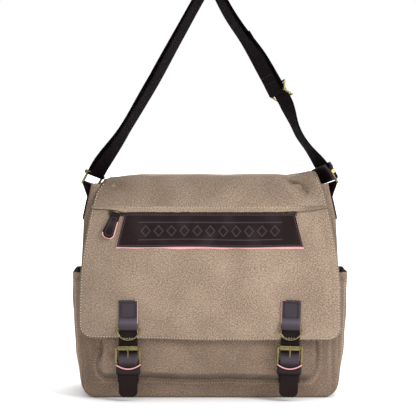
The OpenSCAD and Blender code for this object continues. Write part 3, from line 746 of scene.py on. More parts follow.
def q_of(v):
    return v + ARC - ARC_V


def flap_half(v):
    straight = np.interp(v, FLAP_V, FLAP_W)
    arc = FLAP_W[-1] - HEM_R + np.sqrt(np.maximum(HEM_R ** 2 - np.maximum(v - HEM_TOP, 0) ** 2, 0))
    return np.where(v > HEM_TOP, arc, straight)


def flap_gap(x, v):
    """Distance inside the flap's outline, with its rounded lower corners."""
    ax, av = np.abs(x) - (flap_half(np.minimum(v, HEM_TOP)) - HEM_R), v - HEM_TOP
    corner = HEM_R - np.hypot(np.maximum(ax, 0), np.maximum(av, 0))
    plain_gap = np.minimum(flap_half(np.clip(v, 0, HEM_TOP)) - np.abs(x), HEM - v)
    return np.where((ax > 0) & (av > 0), corner, plain_gap)


def welt_low(x):
    """The lower edge of the welt, as a distance down the flap: higher up at its two ends."""
    edge = np.interp(x, [-165, -150, -137, -127, -120, -113, 96, 108, 131, 145, 165],
                     [41.5, 42.2, 43.0, 44.8, 47.0, 46.3, 46.3, 45.2, 45.1, 43.6, 39.0])
    return edge + 0.12 * field(x, 0, 50, 17)


def slot_deep(v):
    return 2.3 * bell(v - ZIP_V, 3.4, 4)


def slot_span(x):
    return smooth((x - ZIP_ENDS[0]) / 3) * smooth((ZIP_ENDS[1] - x) / 4)


def flap_relief(x, v):
    gap = flap_gap(x, v)
    calm = 1 - bell(np.abs(x) - 113, 26) * smooth((v - 150) / 25)
    h = 0.85 * field(x, v, 92, 11) + 0.28 * field(x, v, 27, 12)
    h = h + 2.4 * spot(x, v, (0, 140), (80, 60)) - 1.5 * spot(x, v, (40, 205), (30, 30))
    h = h - 1.0 * spot(x, v, (-28, 168), (26, 22)) + 1.0 * spot(x, v, (150, 150), (22, 50))
    h = h - 2.6 * spot(x, v, (-131, 9), (15, 8)) + 1.2 * spot(x, v, (-112, 14), (14, 12))
    h = h + folds(x, v, (-5.0, (104, -4), (134, 19), 4.2), (2.6, (113, -6), (146, 12), 4.6),
                  (1.6, (94, 4), (124, 30), 6.5), (-1.2, (-150, 56), (-146, 92), 4),
                  (-0.8, (-117, 52), (-121, 84), 3.5), (-1.7, (139, 54), (128, 100), 6),
                  (0.9, (149, 58), (143, 110), 7), (1.0, (-160, 110), (-166, 190), 9))
    h = h * calm * smooth(v / 12 + 0.35)
    h = h * (1 - 0.55 * smooth((v - 34) / 12) * smooth((110 - v) / 14) * smooth((146 - np.abs(x)) / 12))
    pucker = 0.22 * np.sin(0.62 * (x + v) + 2 * field(x, v, 30, 13)) * np.exp(-gap / 7)
    band = 0.55 * smooth((11.5 - gap) / 2.5) * smooth(gap / 1.2)
    seam = -0.4 * bell(gap - 2.4, 0.9)
    return h + (pucker + band + seam) * smooth((v - 4) / 10) - slot_span(x) * slot_deep(v)


def flap_rise(x, q):
    """The fold's height along the flap: sunk at the left corner, raised at the right."""
    fore = np.interp(x, [-160, -147, -120, -95, 90, 104, 111, 120, 132, 145, 160],
                     [-2.6, -1.2, 0.6, 2.0, 2.0, 1.0, -0.8, 1.4, 6.4, 8.8, 9.2])
    aft = np.interp(x, [-160, -138, -120, -95, 95, 111, 122, 140], [-5, -3.6, -1.0, 1.2, 1.2, 0.2, 2.2, 4.4])
    lead = smooth((q - REAR_Q - 8) / 44)
    wave = fore * lead + aft * (1 - lead) + 0.4 * field(x, 0, 75, 14)
    return wave * smooth((36 - q) / 36) * smooth((q - REAR_Q + FOLD_R * 2.6) / 16)


def hem_lift(x, v):
    drop = np.interp(x, [-182, -150, -95, -20, 60, 110, 182], [4.2, 3.2, 2.4, 0, -0.4, 0.7, 0.4])
    return drop * np.clip(v / HEM, 0, 1) ** 2


def flap_at(x, q, u=0.0):
    """The flap's outer face: q runs from the rear seam over the fold and down to the hem."""
    v = q - ARC + ARC_V
    turn = np.clip(q, 0, ARC) / FOLD_R
    rear = np.clip(REAR_Q - q, 0, FOLD_R * pi / 2) / FOLD_R
    u = u + np.where(q > 0, flap_relief(x, v), 0.35 * field(x, q, 55, 15) * smooth((q - REAR_Q) / 12))
    u = u - (q < 0) * (1.5 * spot(x, q, (-128, -12), (18, 14)) - 0.9 * spot(x, q, (104, -16), (12, 20)))
    y = FOLD_Y - (FOLD_R + u) * np.sin(turn)
    z = CROWN_Z - FOLD_R + (FOLD_R + u) * np.cos(turn)
    down = np.maximum(q - ARC, 0)
    y = y - down * sin(TILT) - np.maximum(np.minimum(q, 0), REAR_Q)
    z = z - down * cos(TILT) + flap_rise(x, q) + hem_lift(x, v)
    y = y + (FOLD_R + u) * np.sin(rear)
    z = z - (FOLD_R + u) * (1 - np.cos(rear)) - np.maximum(REAR_END - q, 0)
    return points(x, y, z)


def crown_half(q):
    return np.interp(q, [REAR_Q - 20, REAR_Q, 0], [133, 134, 147.5])


def flap_grid(q):
    """The flap's points at each q, with their x and their distance down the flap."""
    q = q[:, None]
    v = q - ARC + ARC_V
    half = np.where(q < q_of(0), crown_half(q), flap_half(v))
    x = crowded(161, 1.2) * half
    return flap_at(x, q), x, v


MID_Q = -36.0
front_q = np.r_[np.linspace(MID_Q, 0, 14)[:-1], np.linspace(0, ARC, 9)[:-1],
                np.linspace(ARC, q_of(204), 108)[:-1],
                q_of(204 + 21 * np.sin(np.linspace(0, pi / 2, 16)))]
grid, fx, fv = flap_grid(front_q)
gap = flap_gap(fx, fv)
# painted shade on the flap: darker at its edges and hem seam, towards the top, to the left, in the zip's open
# end, in its dents and creases and under the welt's lip at both ends; the field adds random tone. Its cut
# edge is darkened as well through edge_shade.
flap_tone = (1 - 0.40 * bell(gap, 1.1) - 0.34 * bell(gap - 2.4, 0.9)
             - 0.34 * bell(np.maximum(fv, 0), 40) - 0.15 * smooth((140 - fx) / 300)
             + 0.06 * field(fx, fv, 60, 16)
             - 0.75 * smooth((fx - ZIP_ENDS[0]) / 2) * smooth((-114 - fx) / 3) * bell(fv - 48, 3.4, 4)
             - 0.10 * smooth((-110 - fx) / 50) - 0.12 * spot(fx, fv, (-129, 9), (18, 10))
             - 0.20 * spot(fx, fv, (139, 14), (14, 18))
             - folds(fx, fv, (0.38, (105, -3), (135, 19), 3.6), (0.12, (139, 54), (128, 100), 7))
             - 0.42 * bell(fv - welt_low(fx) - 1.0, 1.1) * smooth((np.abs(fx) - 119) / 2))
made = slab("flap_cloth", grid, 3.2, TOP_CLOTH, (0, -1, 0.6),
            shade=np.clip(flap_tone, 0, 1), edge_shade=0.8)
place(made, ("flap_top", "flap_front"), ["flap_panel", "flap_lining"],
      blend=((0, -29, 306), (0, -37.5, 300)))

rear_q = np.r_[np.linspace(REAR_END - 9, REAR_END, 6)[:-1],
               np.linspace(REAR_END, REAR_Q, 9)[:-1], np.linspace(REAR_Q, MID_Q, 18)]
grid, fx, fv = flap_grid(rear_q)
made = slab("flap_crown_cloth", grid, 3.2, TOP_CLOTH, (0, 0.6, 1), edge_shade=0.8)
place(made, ("bag", "flap_top"), ["flap_crown"], blend=((0, 50, 300), (0, 40, 306)))


def front_point(x, v):
    return flap_at(x, q_of(v))


def hem_line(inset):
    """A line round the flap's free edges, in (x, distance down), inset from them."""
    vs = np.linspace(5, HEM_TOP, 160)
    arc = np.linspace(0, pi / 2, 18)
    right = np.stack([np.r_[flap_half(vs) - inset, FLAP_W[-1] - HEM_R + (HEM_R - inset) * np.cos(arc)],
                      np.r_[vs, HEM_TOP + (HEM_R - inset) * np.sin(arc)]])
    hem = np.stack([np.linspace(163, -163, 260), np.full(260, HEM - inset)])
    return np.hstack([right, hem, np.stack([-right[0], right[1]])[:, ::-1]])


p, n = sample(front_point, *hem_line(2.4), FRONT_OUT)
stitch(p, n, ("flap_front", "cream"), pitch=3.9, fill=0.6, r=0.5)
for q in (REAR_Q - 3, REAR_END - 5):
    p, n = sample(flap_at, np.linspace(-130, 130, 200), q, (0, 1, 1))
    stitch(p, n, ("bag", "cream"), pitch=3.4)

def welt_at(x, s):
    """The welt over the zip, sagging at its open end by the puller; s runs from its seam down."""
    v = WELT_V + (welt_low(x) - WELT_V) * s
    lift = 0.1 + 1.5 * smooth(s / 0.75) + 0.15 * field(x, v, 28, 18)
    lift = lift + 0.7 * smooth((s - 0.6) / 0.3) * smooth((np.abs(x) - 117) / 8)
    lift = lift - 0.35 * bell(s - 0.34, 0.1)
    lift = lift + slot_span(x) * slot_deep(v)
    return flap_at(x, q_of(v), lift)


wx = np.linspace(-164.5, 164.5, 170)[None]
ws = np.linspace(0, 1, 16)[:, None]
# painted shade on the welt: darker at its seam, in the stitched groove and towards both ends
welt_tone = np.interp(ws, [0, 0.25, 0.34, 0.43, 1], [0.86, 0.88, 0.74, 0.92, 1.0])
welt_tone = welt_tone - 0.25 * smooth((np.abs(wx) - 122) / 25)
place(slab("welt", welt_at(wx, ws), 1.3, [CANVAS], FRONT_OUT, shade=welt_tone),
      "flap_front", ["flap_welt"])
p, n = sample(lambda a, b: welt_at(a, b / 50), np.linspace(-118, 133, 240), 17.0, FRONT_OUT)
stitch(p, n, ("flap_front", "cream"), pitch=3.9, fill=0.55, r=0.42)

tape = flap_at(np.linspace(-139, 121, 120)[None], q_of(44.2 + 8 * ws), 0.25)
place(slab("zip_tapes", tape, 0.6, [TAPE], FRONT_OUT), "flap_front", ["zip_tape"])


def zip_coil():
    """Two rows of moulded teeth that mesh, seen at the open end and hidden under the welt."""
    verts, faces = [], []
    for x in np.arange(-140.5, 119, 1.25):
        for row in (-1, 1):
            at = x + (0.62 if row > 0 else 0)
            ring = []
            for dx, dv in ((-0.42, 0.2), (0.42, 0.2), (0.36, -1.7), (-0.36, -1.7)):
                for lift in (0.3, 1.15):
                    ring.append(flap_at(np.array(at + dx), q_of(ZIP_V - row * dv), lift))
            base = len(verts)
            verts += ring
            for f in ((0, 2, 3, 1), (2, 4, 5, 3), (4, 6, 7, 5), (6, 0, 1, 7), (1, 3, 5, 7), (0, 6, 4, 2)):
                faces.append([base + i for i in f])
    return build("zip_coil", np.array(verts), faces, [BRASS])


place(zip_coil(), "flap_front", ["zip_teeth"])

# ---------------------------------------------------------------- leather patch


PATCH_TOP, PATCH_LOW = 48.4, 96


def patch_half(v):
    return np.interp(v, [PATCH_TOP, PATCH_LOW], [119, 130.5])


def patch_gap(x, v):
    return np.minimum(patch_half(v) - np.abs(x), np.minimum(v - PATCH_TOP, PATCH_LOW - v))


def ornament(x, v):
    """A plain row of lozenges between two lines, pressed into the patch."""
    mid = 72.5 + 0.2 * np.sin(x / 30)
    a = np.abs((x + 9) % 18 - 9)
    ring = np.abs(a / 6.2 + np.abs(v - mid) / 7.2 - 1)
    inside = np.abs(x) < 99
    deep = bell(ring, 0.13) * inside
    for dv in (-12, 12):
        deep = deep + bell(v - mid - dv, 0.6) * (np.abs(x) < 100)
    return np.clip(deep, 0, 1)


def patch_at(x, v):
    gap = patch_gap(x, v)
    h = 2.6 - roll(gap, 1.4) * 0.8 + 0.35 * field(x, v, 60, 19) + 0.12 * field(x, v, 14, 20)
    h = h - 0.45 * bell(gap - 2.4, 0.7) - 0.6 * ornament(x, v)
    h = h + slot_deep(v)
    sag = 0.7 * field(x, 0, 110, 22) * smooth((v - 60) / 36)
    return flap_at(x, q_of(v + sag), h)


pv = np.r_[np.linspace(PATCH_TOP, 51, 5)[:-1], np.linspace(51, 93.6, 72),
           np.linspace(93.6, PATCH_LOW, 5)[1:]][:, None]
px = crowded(361, 1.05) * patch_half(pv)
# painted highlight through the leather's sheen: lighter along the rolled edge and beside the pressed
# ornament's lines, set 0.7 mm off them; the field adds random lighter patches
ptone = np.clip(1 - 0.30 * bell(patch_gap(px, pv), 1.2) - 0.08 * np.clip(field(px, pv, 40, 23), 0, 1)
                - 0.42 * ornament(px - 0.7, pv - 0.7), 0, 1)
place(slab("patch", patch_at(px, pv), 1.7, EDGES, FRONT_OUT, shade=ptone,
           edge_at=lambda m: m[:, 2] < 213.5),
      "flap_front", ["leather_patch"])
bx = np.linspace(-1, 1, 180)[None]
bv = np.linspace(50, 97.8, 24)[:, None]
ragged = 0.6 * field(bx * 131, 0, 40, 24) * (bv > 95)
backing = flap_at(bx * (patch_half(bv) - 0.2), q_of(bv + ragged), 0.85)
place(slab("patch_lining", backing, 0.6, [PINK], FRONT_OUT), "flap_front", ["patch_backing"])
loop = line((-116.5, 51), (116.5, 51), (127.6, 93.4), (-127.6, 93.4), (-116.5, 51))
p, n = sample(patch_at, loop[0], loop[1], FRONT_OUT)
stitch(p, n, ("flap_front", "grey"), pitch=3.1, r=0.42)

# ---------------------------------------------------------------- strips of leather and webbing


def strip(name, path, half, to_world, t, mats, out, across=21, bow=0.0, shade=None, widths=None,
          edge_at=None):
    """A band that follows path (u, w) with its width along x. to_world maps (x, u, w) to the frame."""
    path = np.asarray(path, float)
    x = np.linspace(-1, 1, across)[None] * (half if widths is None else np.asarray(widths)[:, None])
    d = np.gradient(path, axis=0)
    side = unit(np.stack([d[:, 1], -d[:, 0]], -1))
    dip = bow * (x / half) ** 2
    u = path[:, 0:1] + side[:, 0:1] * dip
    w = path[:, 1:2] + side[:, 1:2] * dip
    grid = to_world(x, u, w)
    return slab(name, grid, t, mats, out(grid) if callable(out) else out, shade=shade, edge_at=edge_at)


def bead(name, path, r, material):
    """A raised raw edge: a tube along a line of points."""
    along = unit(np.gradient(path, axis=0))
    up = unit(np.cross(along, np.cross(np.array([0, -1.0, 0.3]), along) + 1e-6))
    side = np.cross(along, up)
    turn = np.arange(8) * TURN / 8
    ring = path[:, None] + r * (up[:, None] * np.cos(turn)[:, None] + side[:, None] * np.sin(turn)[:, None])
    count = len(path)
    index = np.arange(count * 8).reshape(count, 8)
    nxt = np.roll(index, -1, axis=1)
    faces = np.stack([index[:-1], nxt[:-1], nxt[1:], index[1:]], -1).reshape(-1, 4).tolist()
    faces += [index[0, ::-1].tolist(), index[-1].tolist()]
    return build(name, ring.reshape(-1, 3), faces, [material])


CLOSE_X, CLOSE_Z = 113, 138     # a closure's middle, and the height it leans about
TOP_Y, FACE = -36, 1.9          # the CAD flap's front crease, and its face's distance from there
HANG = radians(3.5)


def off_flap(u, v):
    """y and z of a point u outside the CAD flap's face and v down from its top edge."""
    level = FACE + u
    return (TOP_Y - level * cos(TILT) - v * sin(TILT),
            FOLD_Z + level * sin(TILT) - v * cos(TILT))


HEM_Y, HEM_Z = off_flap(0, HEM)


def leaned(side, x, y, z):
    """A closure's point in the frame; the right closure leans a little."""
    lean = radians(2) if side > 0 else 0
    dz = z - CLOSE_Z
    return points(side * CLOSE_X + x * cos(lean) + dz * sin(lean), y,
                  CLOSE_Z - x * sin(lean) + dz * cos(lean))


def to_flap(side):
    """x from the closure's middle, u outward, w up from the flap's top edge (negative)."""
    return lambda x, u, w: leaned(side, x, *off_flap(u, -w))


def to_hang(side):
    """As to_flap, for the strap that hangs below the flap: w up from its hem."""
    def place_point(x, u, w):
        y = HEM_Y - u * cos(HANG) + w * sin(HANG)
        z = HEM_Z + u * sin(HANG) + w * cos(HANG)
        return leaned(side, x, y, z)

    return place_point


def stitched(path_xw, u_of, to_world, key, pitch=3.0, r=0.4, fill=0.6):
    a = line(*path_xw, step=1.0)
    u = np.array([u_of(w) for w in a[1]])
    p = to_world(a[0], u, a[1])
    q = to_world(a[0], u + 1.0, a[1])
    stitch(p, unit(q - p), key, pitch=pitch, r=r, fill=fill)


def closure(side):
    tag = SIDES[side]
    flap, hang = to_flap(side), to_hang(side)
    key = ("flap_front", "dark")

    def inner_edge(m):
        """The raw pink edge shows on the side towards the bag's middle."""
        return (m[:, 0] - side * CLOSE_X) * side < -8

    # tab folded round the D-ring's bar
    bar_w, bar_u = -208.7, 4.5
    fold = [(bar_u + 2.62 * sin(a), bar_w - 2.62 * cos(a)) for a in np.linspace(1.75, -1.5, 16)]
    path = curve([(3.5, -170.2), (3.9, -176), (3.9, -190), (4.6, -197), (6.1, -203), *fold,
                  (1.95, -203.5), (1.95, -196)], 90)
    # painted highlight through the leather's sheen: lighter on the outer ply and most where it bulges over
    # the D-ring's bar
    shade = 1 - 0.35 * bell(path[:, 1] + 200, 4.2) * (path[:, 0] > 3.8) - 0.30 * (path[:, 0] > 3.4)
    place(strip("tab_" + tag, path, 12.6, flap, HIDE_T, EDGES, lambda g: g - flap(0, 4.0, -200.0), bow=0.35,
                shade=np.clip(shade, 0, 1)[:, None], edge_at=lambda m: inner_edge(m) & (m[:, 2] > 108)),
          "flap_front", ["closure_tab_" + tag])
    box = [(-9.8, -173), (9.8, -173), (9.8, -193.5), (-9.8, -193.5), (-9.8, -173)]
    stitched(box, lambda w: 4.4, flap, key, pitch=3.9, r=0.66, fill=0.6)
    # under layer of the tab and the lower strap on the flap
    lower = curve([(1.7, -171), (1.75, -190), (1.7, -224), (1.75, -227)], 60)
    place(strip("under_strap_" + tag, lower, 12.5, flap, HIDE_T, EDGES, FRONT_OUT,
                edge_at=lambda m: inner_edge(m) & (m[:, 2] > 88)),
          "flap_front")
    stitched([(-11, 3.0 - HEM), (11, 3.0 - HEM)], lambda _: 1.9, flap, ("flap_front", "cream"),
             pitch=3.4, r=0.5)
    # running strap through the buckle
    knots = [(1.8, 2), (1.8, -5), (2.0, -12), (4.3, -16.8), (6.6, -21), (7.3, -25), (7.0, -31), (4.6, -36),
             (4.1, -46), (4.0, -60), (4.0, -78)]
    path = curve(knots, 120)
    tip = np.clip((-70 - path[:, 1]) / 8.001, 0, 1)
    wide = 12.5 - 7.5 * (1 - np.sqrt(1 - tip ** 2))
    # painted highlight through the leather's sheen: lighter where the strap rises over the buckle
    place(strip("running_strap_" + tag, path, 12.5, hang, 1.6, DARK, FRONT_OUT, bow=0.25,
                shade=1 - 0.42 * bell(path[:, 1:] + 26, 8), widths=wide),
          "flap_front", ["closure_strap_" + tag])
    # chape round the heel bar
    ring = [(2.0 + 3.05 * cos(a), -30.2 + 3.05 * sin(a)) for a in np.linspace(-0.9, 3.3, 18)]
    path = curve([(1.9, -60), (2.0, -48), (2.3, -38)] + ring + [(-0.9, -38), (-0.7, -48), (-0.7, -59)], 110)
    wide = np.interp(path[:, 1], [-61, -57], [12.0, 14.0])
    place(strip("buckle_fold_" + tag, path, 14, hang, 1.45, DARK, lambda g: g - hang(0, 1.0, -45.0),
                widths=wide),
          "flap_front", ["chape_" + tag])
    # keeper
    half, a0, a1 = 15.2, -1.4, 4.5
    r = 2.2
    corners = [(half - r, a1 - r), (-half + r, a1 - r), (-half + r, a0 + r), (half - r, a0 + r)]
    ring = [(cx + (r + 1.5) * cos(b), cu + (r + 1.5) * sin(b))
            for k, (cx, cu) in enumerate(corners) for b in np.linspace(0, pi / 2, 7) + k * pi / 2]
    ring = resample(np.array(ring + ring[:1]), 141)[:-1]
    across = np.linspace(0, 1, 12)[None]
    front = smooth((ring[:, 1:2] - 1.0) / 3)
    dip = np.clip(1 - (ring[:, 0:1] / 16.7) ** 2, 0, 1) * front
    top, low = -33.4 - 5.8 * dip, -46.5 - 0.8 * dip
    w = top + (low - top) * across
    lift = 0.35 * np.sin(pi * across) * front
    grid = hang(ring[:, 0:1], ring[:, 1:2] + lift, w)
    # painted highlight through the leather's sheen: a lighter band along the middle of the keeper's front
    shade = 1 - 0.1 * bell(across - 0.5, 0.3) * front
    place(slab("loop_" + tag, grid, HIDE_T, DARK, grid - hang(0, 1.5, -42.0), wrap=True, shade=shade),
          "keeper_" + tag, ["keeper_" + tag])
    rim = grid[:, 0] - unit(grid[:, 1] - grid[:, 0]) * 0.1
    lip = bead("loop_edge_" + tag, np.vstack([rim, rim[:1]]), 0.85, PINK)
    place(lip, "keeper_" + tag)


for side in SIDES:
    closure(side)

# ---------------------------------------------------------------- puller

PULL_X, PULL_U, DROP = -131.5, 4.3, 4.7


def puller():
    """The leather pull, hanging askew from the slider's link."""
    lean = radians(21)

    def to_world(x, u, w):
        px = x * cos(lean) + w * sin(lean)
        pw = -x * sin(lean) + w * cos(lean)
        return points(PULL_X + px, *off_flap(u, ZIP_V + DROP - pw))

    w = np.r_[3.7, np.linspace(3.3, -27, 44), -27 - 6 * np.sin(np.linspace(0.1, pi / 2, 12))]
    half = np.interp(w, [-27, 2], [8.1, 5.3])
    end = np.clip((-27 - w) / 6.001, 0, 1)
    half = half - 6.5 * (1 - np.sqrt(np.maximum(1 - end ** 2, 0)))
    path = np.stack([PULL_U + 1.6 + 0.35 * np.sin(w / 7) + 0.8 * smooth((w - 0.5) / 2.5), w], -1)
    # painted highlight through the leather's sheen: a lighter band across the pull about 12 mm below its top
    place(strip("pull_leather", path, 7, to_world, 2.2, EDGES, FRONT_OUT, across=15, bow=0.3,
                shade=1 - 0.12 * bell(w + 12, 6)[:, None], widths=half, edge_at=lambda m: m[:, 2] < 0),
          "zip_puller", ["zip_puller"])
    edge = np.stack([np.r_[half, -half[::-1][:12]], np.r_[w, w[::-1][:12]]])[:, 16:]
    lift = PULL_U + 0.7 + 0.35 * np.sin(edge[1] / 7)
    place(bead("pull_edge", to_world(edge[0], lift, edge[1]), 0.75, PINK), "zip_puller")
    loop = [(-3.2, -3), (3.2, -3), (5.4, -26), (3.0, -29.4), (-3.0, -29.4), (-5.4, -26), (-3.2, -3)]
    stitched(loop, lambda w: PULL_U + 1.65 + 0.35 * sin(w / 7), to_world, ("zip_puller", "grey"),
             pitch=2.8, r=0.36)


puller()

# ---------------------------------------------------------------- side rings' tabs, strap

RUN = radians(29.5)
TWIST = radians(28)
RING_TOP = np.array([-171 + 17 * sin(RUN), 294.7 + 17 * cos(RUN)])
LANE = 2.65
APEX_R = 20.0
APEX_Z = RING_TOP[1] - RING_TOP[0] / tan(RUN)
ARC_Z = APEX_Z - APEX_R / sin(RUN)
SPAN = hypot(-APEX_R * cos(RUN) - RING_TOP[0], ARC_Z + APEX_R * sin(RUN) - RING_TOP[1])
WEB_W = 38.0
SLIDE_S = 134.0   # the slide's middle bar, up the right run


def on_run(side, lx, ly, lz, twist=TWIST):
    """Run frame of one side: lx inward, ly to the back, lz up the run."""
    x1 = lx * cos(twist) + ly * sin(twist)
    y1 = -lx * sin(twist) + ly * cos(twist)
    x2 = x1 * cos(RUN) + lz * sin(RUN)
    z2 = -x1 * sin(RUN) + lz * cos(RUN)
    return points(-side * (RING_TOP[0] + x2), y1, RING_TOP[1] + z2)


def lane_out(side):
    """The direction that the run's lanes face, towards the middle."""
    return unit(on_run(side, 10, 0, 60) - on_run(side, 0, 0, 60))


def facing(grid, at, way):
    """The grid's normals, turned so that they point along way at one of its points."""
    n = normals(grid, 1.0)
    return n if n[at] @ way > 0 else -n


EASED = radians(17)


def eased(side, s):
    """The webbing's twist at s: the ring and the slide hold it, and it relaxes between them."""
    if side < 0:
        return TWIST + (EASED - TWIST) * smooth((s - 4) / 80)
    if s > 165:
        return TWIST + (EASED - TWIST) * smooth((s - 165) / 70)
    return TWIST + (radians(14) - TWIST) * smooth((s - 4) / 48) * smooth((116 - s) / 40)


def inward(s, side=-1):
    """How far the loaded strap draws in towards the middle along its run, and at the top."""
    if side > 0 and s < 165:
        return 6.5 * smooth((s - 8) / 60) * smooth((124 - s) / 60)
    start, slack = (0, 3.0) if side < 0 else (165, 0)
    return slack * smooth((s - 8) / 60) + (6.0 - slack) * smooth((s - start - 20) / 90)


def over_apex(off, dy, turn):
    """The bend at the top; turn goes from the right run's end (0) to the left run's (1)."""
    phi = -RUN - turn * (pi - 2 * RUN)
    r = APEX_R - inward(SPAN) + off * cos(EASED) - dy * sin(EASED)
    h = off * sin(EASED) + dy * cos(EASED)
    return points(r * np.cos(phi), h, ARC_Z - r * np.sin(phi))


def run_sway(s, seed):
    """How far a layer of webbing leaves its straight lane."""
    t = s / SPAN
    wave = 0.9 * np.sin(TURN * t * 1.3 + seed) + 0.5 * np.sin(TURN * t * 2.7 + 2 * seed)
    return np.sin(pi * np.clip(t, 0, 1)) * wave


def webbing_strap():
    """The strap: up the right run, over the top, down to the left ring and back up as a second layer."""
    y = np.linspace(-1, 1, 23)
    curl = 0.35 * y ** 2
    dy = y * WEB_W / 2
    gap = LANE + 0.8

    def at(side, lx, s):
        turn = eased(side, s)
        drawn = inward(s, side)
        return on_run(side, lx + drawn * cos(turn), dy + drawn * sin(turn), s, turn)

    def lane(side, s):
        """The layers close up above the ring on the left, and above the slide on the right."""
        return gap - 1.3 * smooth((s - (30 if side < 0 else 190)) / 60)

    rows = []
    for s in np.linspace(9, SPAN, 130):
        rows.append(at(1, -lane(1, s) - run_sway(s, 0.4) * 0.3 - curl, s))
    for t in np.linspace(0, 1, 44)[1:-1]:
        rows.append(over_apex(gap - 1.3 + curl * 0.5, dy, t))
    for s in np.linspace(SPAN, 0, 130):
        rows.append(at(-1, -lane(-1, s) - np.abs(run_sway(s, 1.7)) * 0.3 - curl * min(1, s / 20), s))
    for a in np.linspace(0, pi, 17)[1:-1]:
        rows.append(on_run(-1, -gap * cos(a), dy, -gap * sin(a)))
    for s in np.linspace(0, SPAN, 130):
        bow = 1.6 * sin(pi * s / SPAN) ** 2 + 0.5 * run_sway(s, 2.6)
        rows.append(at(-1, lane(-1, s) + bow, s))
    for t in np.linspace(1, 0, 36)[1:-1]:
        rows.append(over_apex(1.3 - gap - 0.9 * sin(pi * t), dy, t))
    for s in np.linspace(SPAN, 193, 56):
        bow = 1.6 * sin(pi * (s - 193) / (SPAN - 193))
        rows.append(at(1, lane(1, s) + bow, s))
    grid = np.stack(rows, 0)
    out = facing(grid, (20, 11), -lane_out(1))
    run = lengths(grid[:, 11])
    uv = np.stack(np.broadcast_arrays(dy[None], run[:, None]), -1)
    tone = np.clip(1 - 0.22 * np.abs(y[None]) ** 8, 0, 1)
    place(slab("strap_webbing", grid, WEB_T, [WEB], out, uv=uv, shade=tone),
          "carry_strap", ["shoulder_strap"])


webbing_strap()


def strap_loop():
    """The webbing's return end, round the adjuster's middle bar and sewn to itself."""
    y = np.linspace(-1, 1, 23)
    dy = y * WEB_W / 2
    mid, r = 1.8, 3.45
    rows = [on_run(1, mid - r - 0.15, dy, SLIDE_S + s) for s in np.linspace(30, 0, 18)]
    rows += [on_run(1, mid - r * cos(a), dy, SLIDE_S - r * sin(a))
             for a in np.linspace(0, pi, 19)[1:-1]]
    for s in np.linspace(0, 95, 48):
        ease = 1 - smooth(s / 26)
        rows.append(on_run(1, mid + r * ease + 1.9 * (1 - ease) + 0.5 * sin(s / 16), dy, SLIDE_S + s))
    grid = np.stack(rows, 0)
    out = facing(grid, (-10, 11), lane_out(1))
    run = lengths(grid[:, 11])
    uv = np.stack(np.broadcast_arrays(dy[None], run[:, None]), -1)
    place(slab("strap_return", grid, WEB_T, [WEB], out, uv=uv), "adjuster", ["strap_loop_end"])
    for s in (16, 27):
        p = on_run(1, np.full(60, mid + 2.6), np.linspace(-17, 17, 60), SLIDE_S + s)
        stitch(p, np.tile(lane_out(1), (60, 1)), ("adjuster", "dark"), pitch=3.0, r=0.45)


strap_loop()


def leather_end():
    """A short sleeve of leather that folds round the ring and takes the webbing's end."""
    y = np.linspace(-1, 1, 25)
    dy = -3.0 + y * 22.6
    top, low, r = 13.0, -8.5, 3.95

    def lane(sign, s):
        wide = 1.3 * smooth((s - 3) / 5)
        return on_run(1, sign * (r + wide), dy * (1 - 0.06 * smooth((s - 2) / 9)), s)

    rows = [lane(-1, s) for s in np.linspace(top, low, 24)]
    rows += [on_run(1, -r * cos(a), dy, low - r * sin(a))
             for a in np.linspace(0, pi, 17)[1:-1]]
    rows += [lane(1, s) for s in np.linspace(low, top, 24)]
    grid = np.stack(rows, 0)
    out = facing(grid, (5, 12), -lane_out(1))
    at = np.arange(len(rows))[:, None]
    # painted highlight through the leather's sheen: lighter along one long edge and round the bottom of the
    # fold
    shade = np.clip(1 - 0.5 * bell(y[None] + 0.9, 0.16) - 0.3 * bell(at - 32, 5), 0, 1)
    place(slab("strap_end", grid, 1.6, EDGES, out, shade=shade, edge_at=lambda m: m[:, 1] > 12),
          "carry_strap", ["strap_end_leather"])
    for sign in (-1, 1):
        p = on_run(1, np.full(60, sign * (r + 1.35)), np.linspace(-20, 14, 60), 10.0)
        stitch(p, np.tile(sign * lane_out(1), (60, 1)), ("carry_strap", "dark"), pitch=3.0, r=0.42)


leather_end()


